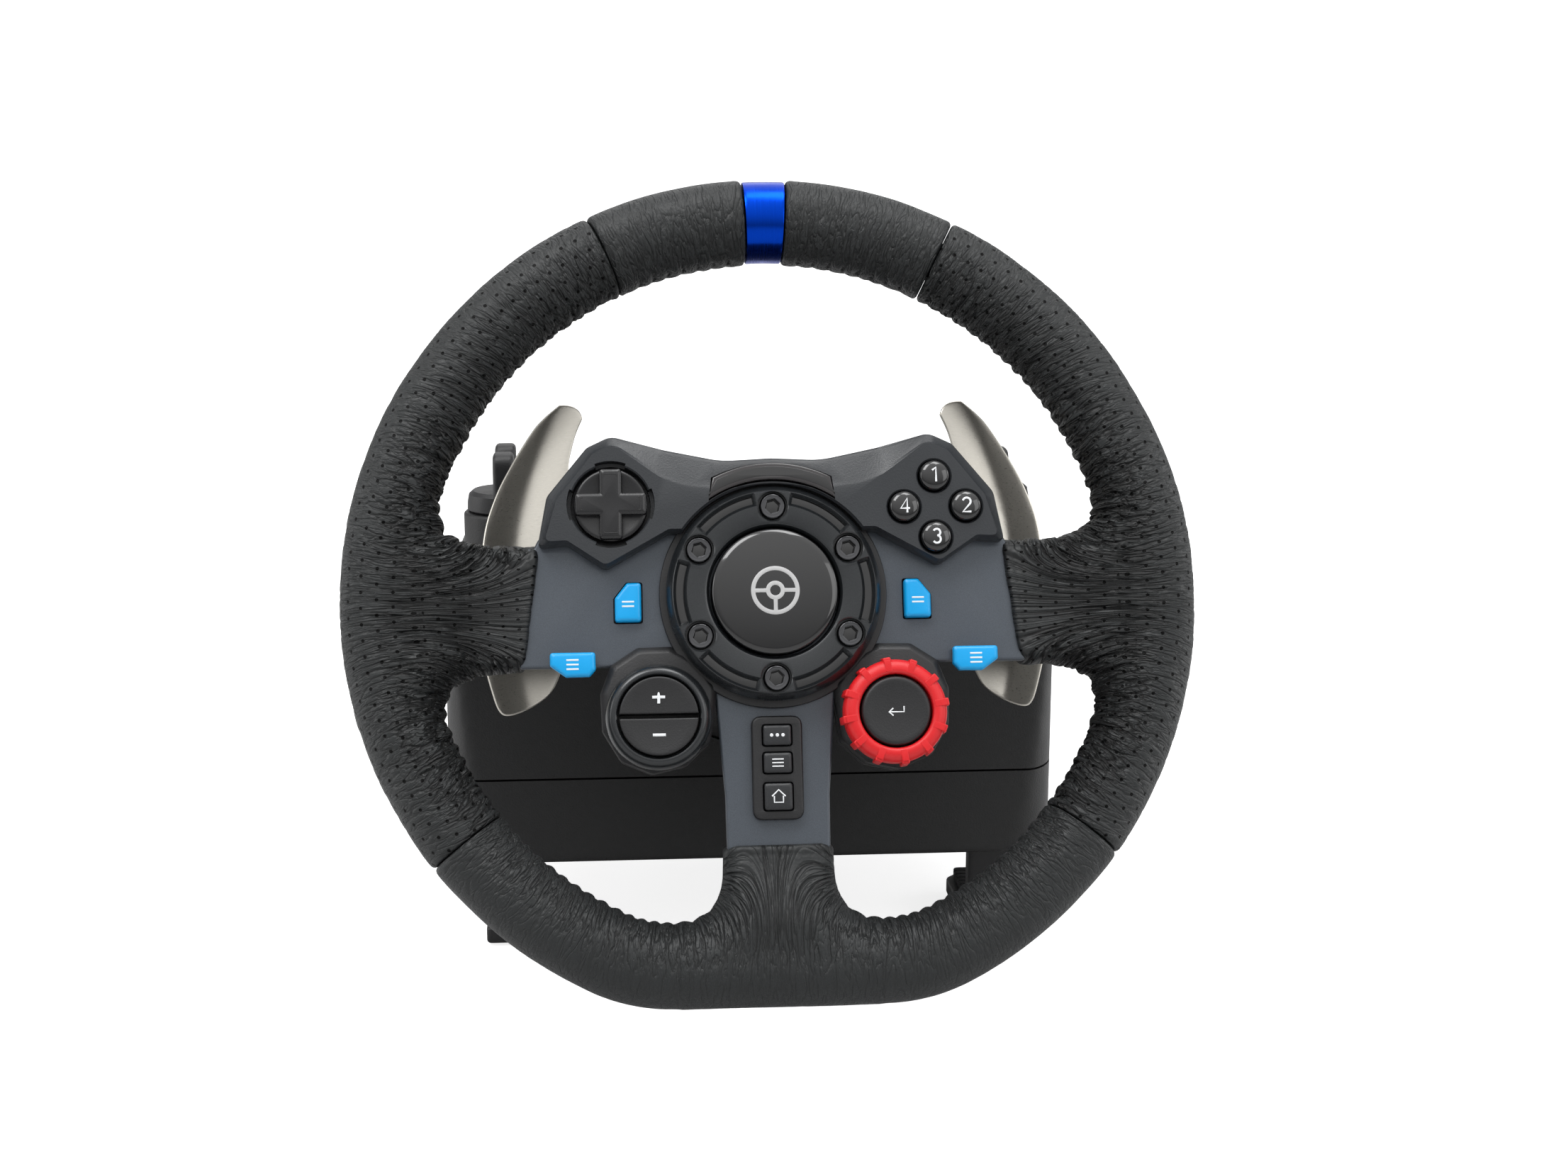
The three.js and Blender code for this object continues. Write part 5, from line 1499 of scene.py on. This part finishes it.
def paddle_form(v):
    """Fold the outer facet back and hollow the inner one a little."""
    past = abs(v.x) - paddle_crease(v.y)
    fold = 0.5 * (past + math.sqrt(past * past + 0.3))
    hollow = 0.005 * max(0.0, 20 + min(past, 0.0)) ** 2
    return Vector((v.x, v.y, v.z - 0.40 * fold - hollow))


def dense(mesh, length):
    """Cut long edges so that a bend has vertices to follow."""
    work = bmesh.new()
    work.from_mesh(mesh)
    bmesh.ops.triangulate(work, faces=work.faces)
    for _ in range(5):
        long_edges = [edge for edge in work.edges if edge.calc_length() > length]
        if not long_edges:
            break
        bmesh.ops.subdivide_edges(work, edges=long_edges, cuts=1)
        bmesh.ops.triangulate(work, faces=work.faces)
    work.to_mesh(mesh)
    work.free()
    return mesh


def build_rear_housing():
    low, _ = local_box("control_housing_rear")
    back = low.z if low.z > -18 else -17.0
    levels = [(6.5, back + 0.05), (5.0, back + 0.4), (2.2, back + 2.6), (0.6, back + 6.0), (0.1, back + 9),
              (0, -2.4)]
    shell = terrace(both_sides(WING_HALF), levels, 2.4)
    disc = lathe([(0, back), (31, back), (33.6, back + 1.6), (34.5, back + 4), (34.5, -2.4), (0, -2.4)], 96)
    parts = [disc]
    for sign in (-1, 1):
        shape = [(sign * x, y) for x, y in POD_SHAPE]
        parts.append(terrace(shape, [(5.0, back + 0.1), (3.6, back + 0.6), (1.2, back + 3), (0.3, back + 6),
                                     (0, -2.4)], 3.0))
    body = carve(shell, *parts, operation="UNION")
    tools = [drill(14, back - 2, 0), inner_hollow()]
    for x, y in ((49, 33), (62, 22), (44, -45), (28, -32)):
        for sign in (-1, 1):
            tools.append(drill(2.6, back - 3, back + 4.5, sign * x, y, steps=32))
    body = carve(body, *tools)
    place_mesh("rear_housing_shell", body, "black_plastic", "control_housing_rear", smooth=28)
    ears = []
    for side, sign in (("left", -1), ("right", 1)):
        x = sign * middle_pin(side)
        level = -22.5
        for near, far in ((17.4, 20.4), (-20.4, -17.4)):
            ears.append(slab([box_outline(6.8, far - near, 0.8, x, (near + far) / 2)], level - 2, back +
                             1.5, 0.4))
        pin = lathe([(0, -20), (1.2, -20), (1.4, -19.8), (1.4, 19.8), (1.2, 20), (0, 20)], 32)
        pin.transform(Matrix.Translation((x, 0, level)) @ Matrix.Rotation(-math.pi / 2, 4, "X"))
        ears.append(pin)
    place_mesh("rear_housing_pins", merge(*ears), "dark_steel", "control_housing_rear")
    screws = []
    for x, y in ((49, 33), (62, 22), (44, -45), (28, -32)):
        for sign in (-1, 1):
            head = carve(lathe([(0, back + 3.2), (1.5, back + 3.3), (2.2, back + 3.8), (2.2, back + 5),
                                (0, back + 5)], 32),
                         slab([box_outline(2.4, 0.6, 0.1)], back + 2, back + 4, 0.01),
                         slab([box_outline(0.6, 2.4, 0.1)], back + 2, back + 4, 0.01))
            head.transform(Matrix.Translation((sign * x, y, 0)))
            screws.append(head)
    place_mesh("rear_housing_screws", merge(*screws), "steel", "control_housing_rear")


def inner_hollow():
    """Room for the shaft flange behind the hub, and for the circuit board."""
    return lathe([(0, -11), (31.4, -11), (31.4, 2), (0, 2)], 64)


# ------------------------------------------------------------------ column and base
# Base pieces are drawn in millimetres in the row's own axes.
shell_low, _ = local_box("base_shell_lower", TABLE)
_, shell_high = local_box("base_shell_upper", TABLE)
BASE_HALF = shell_high.x
BASE_FRONT, BASE_BACK = shell_low.y, local_box("base_shell_lower", TABLE)[1].y
BASE_TOP = shell_high.z
BASE_FLOOR = shell_low.z
SEAM = local_box("base_shell_upper", TABLE)[0].z
SHELL_WALL = 3
CLAMP = middle("clamp_pad_right", TABLE).x
CLAMP_Y = middle("clamp_knob_right", TABLE).y
KNOB_SEAT = local_box("clamp_knob_right", TABLE)[1].z - 21


def bend(start, control, end, steps=16):
    """Points on a quadratic curve, without its first point."""
    start, control, end = Vector(start), Vector(control), Vector(end)
    result = []
    for step in range(1, steps + 1):
        t = step / steps
        place = start * (1 - t) ** 2 + control * 2 * t * (1 - t) + end * t ** 2
        result.append((place.x, place.y))
    return result


def side_view(inset):
    front, back = BASE_FRONT + inset, BASE_BACK - inset
    top, floor = BASE_TOP - inset, BASE_FLOOR + inset
    points = [(front, floor), (back, floor), (back, 46)]
    points += bend((back, 46), (back, 84 - inset), (68, 96 - inset))
    points += bend((68, 96 - inset), (20, top), (-4, top))
    points += bend((-4, top), (front + 12, top), (front + 9, 88))
    return points


def plan_view(inset):
    half = BASE_HALF - inset
    front, back = BASE_FRONT + inset, BASE_BACK - inset
    right = [(half - 22, front)]
    right += bend((half - 22, front), (half, front), (half, front + 26))
    right += bend((half, front + 26), (half - 2, 50), (half - 22, back - 24))
    right += bend((half - 22, back - 24), (half - 30, back), (half - 52, back))
    return right + flip(right)


def front_view(inset):
    half, top = BASE_HALF - inset, BASE_TOP - inset
    right = [(half, BASE_FLOOR + inset), (half, 80)]
    right += bend((half, 80), (half, top), (half - 44, top))
    return right + flip(right)


SIDE_ON = Matrix(((0, 0, 1, 0), (1, 0, 0, 0), (0, 1, 0, 0), (0, 0, 0, 1)))
FACE_ON = Matrix(((1, 0, 0, 0), (0, 0, -1, 0), (0, 1, 0, 0), (0, 0, 0, 1)))


def base_solid(inset):
    """Where the side, plan and front views of the base all agree."""
    side = slab([side_view(inset)], -130, 130, 0.02)
    side.transform(SIDE_ON)
    plan = slab([plan_view(inset)], -20, 150, 0.02)
    front = slab([front_view(inset)], -150, 130, 0.02)
    front.transform(FACE_ON)
    return carve(carve(side, plan, operation="INTERSECT"), front, operation="INTERSECT")


def block(low, high):
    (x0, y0, z0), (x1, y1, z1) = low, high
    corners = [(x0, y0, z0), (x1, y0, z0), (x1, y1, z0), (x0, y1, z0),
               (x0, y0, z1), (x1, y0, z1), (x1, y1, z1), (x0, y1, z1)]
    return mesh_of(corners, [(3, 2, 1, 0), (4, 5, 6, 7), (0, 1, 5, 4), (1, 2, 6, 5), (2, 3, 7, 6),
                             (3, 0, 4, 7)])


def even_out(mesh, size, rounds):
    """Remesh a solid into small quads and let its edges settle into rounds."""
    thing = scratch(mesh)
    modifier = thing.modifiers.new("even", "REMESH")
    modifier.mode = "VOXEL"
    modifier.voxel_size = size
    relax = thing.modifiers.new("relax", "SMOOTH")
    relax.factor = 0.5
    relax.iterations = rounds
    return bake(thing)


def on_base(mesh):
    """Carry a mesh drawn on the steering axis into the frame of the base, still in millimetres."""
    mesh.transform(TABLE.inverted() @ WHEEL)
    return mesh


def build_shells():
    outer = even_out(base_solid(0), 1.2, 14)
    seats = [drill(14.3, 100, KNOB_SEAT - 0.4, sign * CLAMP, CLAMP_Y) for sign in (-1, 1)]
    outer = carve(outer, *(soften(seat, 1.2, 3, 40) for seat in seats), operation="UNION")
    shell = carve(outer, base_solid(SHELL_WALL))
    groove = 0.35
    copy = shell.copy()
    column = on_base(drill(38.8, -110, -40, steps=96))
    column_copy = column.copy()
    vents = []
    for x in range(-36, 37, 6):
        vents.append(slab([box_outline(2.4, 20, 1.2, x, SEAM + 22)], -115, -80, 0.02))
        vents[-1].transform(FACE_ON)
    upper = carve(shell, block((-130, -90, -20), (130, 130, SEAM - 0.15 + groove)), column, *vents,
                  *(drill(3.6, 80, 140, sign * CLAMP, CLAMP_Y, steps=32) for sign in (-1, 1)))
    lower_tools = [block((-130, -90, SEAM - 0.15 - groove), (130, 130, 160)), column_copy]
    for sign in (-1, 1):
        lower_tools.append(block((sign * CLAMP - 8.5, -37.5, -20), (sign * CLAMP + 8.5, -28.5, 20)))
        lower_tools.append(drill(3, -5, 20, sign * 36, 30, steps=32))
    lower = carve(copy, *lower_tools)
    place_mesh("base_cover", upper, "shell", "base_shell_upper", space=TABLE, smooth=30)
    place_mesh("base_tray", lower, "shell", "base_shell_lower", space=TABLE, smooth=30)


def build_column():
    profile = [(14, -30.2), (22, -30.2), (25.4, -30.5), (26.8, -31.6), (29, -34.5), (30.6, -40)]
    for level in (-46, -52, -58, -64, -70):
        width = 30.6 + (-40 - level) * 0.205
        profile += [(width - 0.15, level + 0.8), (width - 0.9, level + 0.4), (width - 0.9, level - 0.4),
                    (width, level - 0.8)]
    profile += [(37.6, -75), (38, -77), (38, -104), (35, -104), (35, -77), (26, -36), (24, -33.2),
                (14, -33.2),
                (14, -30.2)]
    place_mesh("column_shroud_cone", lathe(profile, 128), "black_plastic", "column_shroud", smooth=35)


def build_clamps():
    for side, sign in (("left", -1), ("right", 1)):
        knob_node, arm_node, pad_node = (f"clamp_{part}_{side}" for part in ("knob", "arm", "pad"))
        x = sign * CLAMP
        seat = KNOB_SEAT
        boss = lathe([(0, seat), (12.6, seat), (13, seat + 0.5), (12.9, seat + 3), (12.4, seat + 5.6),
                      (11, seat + 6.8),
                      (0, seat + 7)], 72, x, CLAMP_Y)
        wing_outline = rounded([(-15, 3), (-9.5, 0), (9.5, 0), (15, 3), (15, 18), (5.5, 18), (3.6, 13.4),
                                (-3.6, 13.4),
                                (-5.5, 18), (-15, 18)], [3, 2, 2, 3, 5, 3.4, 3, 3, 3.4, 5])
        wing = slab([wing_outline], -3.5, 3.5, 1.5, 4)
        wing.transform(Matrix.Translation((x, CLAMP_Y, seat + 3)) @ SIDE_ON)
        screw_low = local_box(knob_node, TABLE)[0].z
        grip = merge(boss, wing)
        place_mesh(f"clamp_knob_{side}_grip", grip, "black_plastic", knob_node, space=TABLE, smooth=35)
        screw = screw_thread(3, screw_low, seat + 2, 2.5, x, CLAMP_Y)
        place_mesh(f"clamp_knob_{side}_screw", screw, "steel", knob_node, space=TABLE, smooth=40)
        low, high = local_box(arm_node, TABLE)
        leg = slab([box_outline(16, 8, 1.6, x, -33)], low.z + 1, high.z - 0.1, 0.6, 3)
        foot = slab([rounded([(x - 9.8, -36.9), (x + 9.8, -36.9), (x + 9.8, 4), (x + 6, 7.9), (x - 6, 7.9),
                              (x - 9.8, 4)], [2, 2, 4, 3, 3, 4])], low.z + 0.1, low.z + 6, 1.0, 3)
        lug = carve(slab([box_outline(15.8, 17, 1.6, x, -20.5)], 34.1, high.z - 0.1, 0.6, 3),
                    drill(3.4, 30, 50, x, CLAMP_Y))
        mesh = carve(leg, foot, lug, operation="UNION")
        place_mesh(f"clamp_arm_{side}_body", mesh, "black_plastic", arm_node, space=TABLE, smooth=30)
        pad_low, pad_high = local_box(pad_node, TABLE)
        pad = slab([box_outline(14, pad_high.y - pad_low.y, 2, x, (pad_low.y + pad_high.y) / 2)],
                   pad_low.z, pad_high.z, 0.5, 3)
        grooves = [block((x - 9, y - 0.5, pad_high.z - 0.7), (x + 9, y + 0.5, pad_high.z + 1))
                   for y in np.arange(pad_low.y + 4, pad_high.y - 2, 3.6)]
        pad = carve(pad, *grooves)
        place_mesh(f"clamp_pad_{side}_face", pad, "rubber", pad_node, space=TABLE, smooth=30)


def screw_thread(radius, low, high, pitch, cx, cy):
    """A rod with a helical thread."""
    steps = 20
    turns = (high - low) / pitch
    rings = int(turns * 8)
    vertices, faces = [], []
    for ring in range(rings + 1):
        level = low + (high - low) * ring / rings
        for step in range(steps):
            turn = 2 * math.pi * step / steps
            wave = abs(((level / pitch + step / steps) % 1) * 2 - 1)
            width = radius - 0.45 * wave
            vertices.append((cx + width * math.cos(turn), cy + width * math.sin(turn), level))
    for ring in range(rings):
        for step in range(steps):
            ahead = (step + 1) % steps
            faces.append((ring * steps + step, ring * steps + ahead,
                          (ring + 1) * steps + ahead, (ring + 1) * steps + step))
    faces.append(tuple(reversed(range(steps))))
    faces.append(tuple(range(rings * steps, (rings + 1) * steps)))
    return mesh_of(vertices, faces)


def dress_inner_nodes():
    """Procedural materials and softened edges for the CAD nodes that stay in the picture."""
    looks = {"rim_core": "dark_steel", "control_board": "board", "main_board": "board",
             "steering_shaft": "steel",
             "steering_gear": "nylon", "gearbox_frame": "cast_alloy", "bearing_front": "steel",
             "bearing_rear": "steel",
             "motor_left": "dark_steel", "motor_right": "dark_steel", "motor_pinion_left": "steel",
             "motor_pinion_right": "steel", "dpad_pivot": "nylon", "rubber_foot": "rubber"}
    for node, look in looks.items():
        thing = frame["nodes"][node]
        thing.data.materials.clear()
        thing.data.materials.append(LOOKS[look])
        modifier = thing.modifiers.new("edges", "BEVEL")
        modifier.width = 0.0003
        modifier.segments = 2
        modifier.limit_method = "ANGLE"
        modifier.angle_limit = math.radians(35)


# ------------------------------------------------------------------ stage
def backdrop_mesh():
    """A floor that curves up into a back wall, in metres."""
    floor = cad_bounds[0][2] - 0.001
    radius = 1.4
    wall = 2.2
    profile = [(-4.0, floor), (wall - radius, floor)]
    for step in range(1, 25):
        turn = math.radians(90 * step / 24)
        profile.append((wall - radius + radius * math.sin(turn), floor + radius * (1 - math.cos(turn))))
    profile.append((wall, 5.0))
    half = 6.0
    vertices = [(side * half, y, z) for y, z in profile for side in (-1, 1)]
    faces = [(2 * i, 2 * i + 1, 2 * i + 3, 2 * i + 2) for i in range(len(profile) - 1)]
    return mesh_of(vertices, faces)


def build_stage():
    """Plain pale floor and backdrop, soft lights, and a camera at the photograph's angle."""
    pale = pale_paint()
    mesh = backdrop_mesh()
    mesh.shade_smooth()
    mesh.materials.append(pale)
    backdrop = bpy.data.objects.new("backdrop", mesh)
    bpy.context.scene.collection.objects.link(backdrop)
    bpy.context.scene.world = studio_sky()
    bpy.context.scene.view_settings.view_transform = "Standard"
    target = Vector(steering["pos_m"])
    lamps = (("key", (-0.75, -0.75, 1.75), 0.9, 17), ("fill", (1.3, -1.2, 0.8), 1.0, 5),
             ("window", (0.35, -0.35, 1.9), 0.8, 12), ("back", (0.0, 1.3, 1.5), 1.6, 10),
             ("left_edge", (-1.5, 0.1, 0.35), 0.9, 7), ("right_edge", (1.5, 0.1, 0.35), 0.9, 7))
    for name, place, size, power in lamps:
        lamp = bpy.data.lights.new(name, "AREA")
        lamp.size = size
        lamp.energy = power
        light = bpy.data.objects.new(name, lamp)
        light.location = Vector(place)
        light.rotation_euler = (target - Vector(place)).to_track_quat("-Z", "Y").to_euler()
        bpy.context.scene.collection.objects.link(light)
    aim_camera()


def pale_paint():
    """Matt white; a glow that only the camera sees keeps it pale without lighting the object."""
    paint = Paint("pale_backdrop", (0.62, 0.62, 0.62), 0.95, Specular_IOR_Level=0.1)
    path = paint.nodes.new("ShaderNodeLightPath")
    paint.set("Emission Color", (1, 1, 1, 1))
    paint.set("Emission Strength", paint.math("MULTIPLY", path.outputs["Is Camera Ray"], 0.8))
    return paint.material


GLOSSY_EXTRA = 1.0


def studio_sky():
    """White to the camera; to the object, a dim room, brighter overhead and brightest in reflections."""
    world = bpy.data.worlds.new("studio")
    world.use_nodes = True
    nodes, links = world.node_tree.nodes, world.node_tree.links
    path = nodes.new("ShaderNodeLightPath")
    place = nodes.new("ShaderNodeTexCoord")
    split = nodes.new("ShaderNodeSeparateXYZ")
    links.new(place.outputs["Generated"], split.inputs[0])
    height = nodes.new("ShaderNodeMapRange")
    links.new(split.outputs["Z"], height.inputs["Value"])
    height.inputs["From Min"].default_value = -0.2
    height.inputs["To Min"].default_value = 0.07
    height.inputs["To Max"].default_value = 0.85
    mirrored_part = nodes.new("ShaderNodeMath")
    mirrored_part.operation = "MULTIPLY_ADD"
    links.new(path.outputs["Is Glossy Ray"], mirrored_part.inputs[0])
    mirrored_part.inputs[1].default_value = GLOSSY_EXTRA
    mirrored_part.inputs[2].default_value = 1.0
    sky = nodes.new("ShaderNodeMath")
    sky.operation = "MULTIPLY"
    links.new(height.outputs["Result"], sky.inputs[0])
    links.new(mirrored_part.outputs[0], sky.inputs[1])
    strength = nodes.new("ShaderNodeMix")
    links.new(path.outputs["Is Camera Ray"], strength.inputs["Factor"])
    links.new(sky.outputs[0], strength.inputs[2])
    strength.inputs[3].default_value = 1.0
    background = nodes["Background"]
    background.inputs["Color"].default_value = (1, 1, 1, 1)
    links.new(strength.outputs[0], background.inputs["Strength"])
    return world


def aim_camera():
    """Camera 4 degrees left of the steering axis and 7 degrees below it, 0.7 m from the rim."""
    camera = bpy.data.cameras.new("camera")
    camera.lens = 53
    camera.sensor_width = 36
    view = bpy.data.objects.new("camera", camera)
    left, below, distance = math.radians(4), math.radians(7), 0.70
    forward = OUT * math.cos(left) * math.cos(below)
    direction = (forward - RIGHT * math.sin(left) - UP * math.sin(below)).normalized()
    centre = Vector(steering["pos_m"])
    view.location = centre + direction * distance
    view.rotation_euler = (-direction).to_track_quat("-Z", "Y").to_euler()
    camera.shift_x = 0.008
    camera.shift_y = 0.006
    bpy.context.scene.collection.objects.link(view)
    bpy.context.scene.camera = view


build_leather()
build_band()
build_plate()
build_fascia()
build_lens()
build_hub_ring()
build_cap()
build_bolts()
build_face_buttons()
build_direction_pad()
build_blue_buttons()
build_plus_minus()
build_dial()
build_enter()
build_keys()
build_paddles()
build_rear_housing()
build_shells()
build_column()
build_clamps()
dress_inner_nodes()
build_stage()
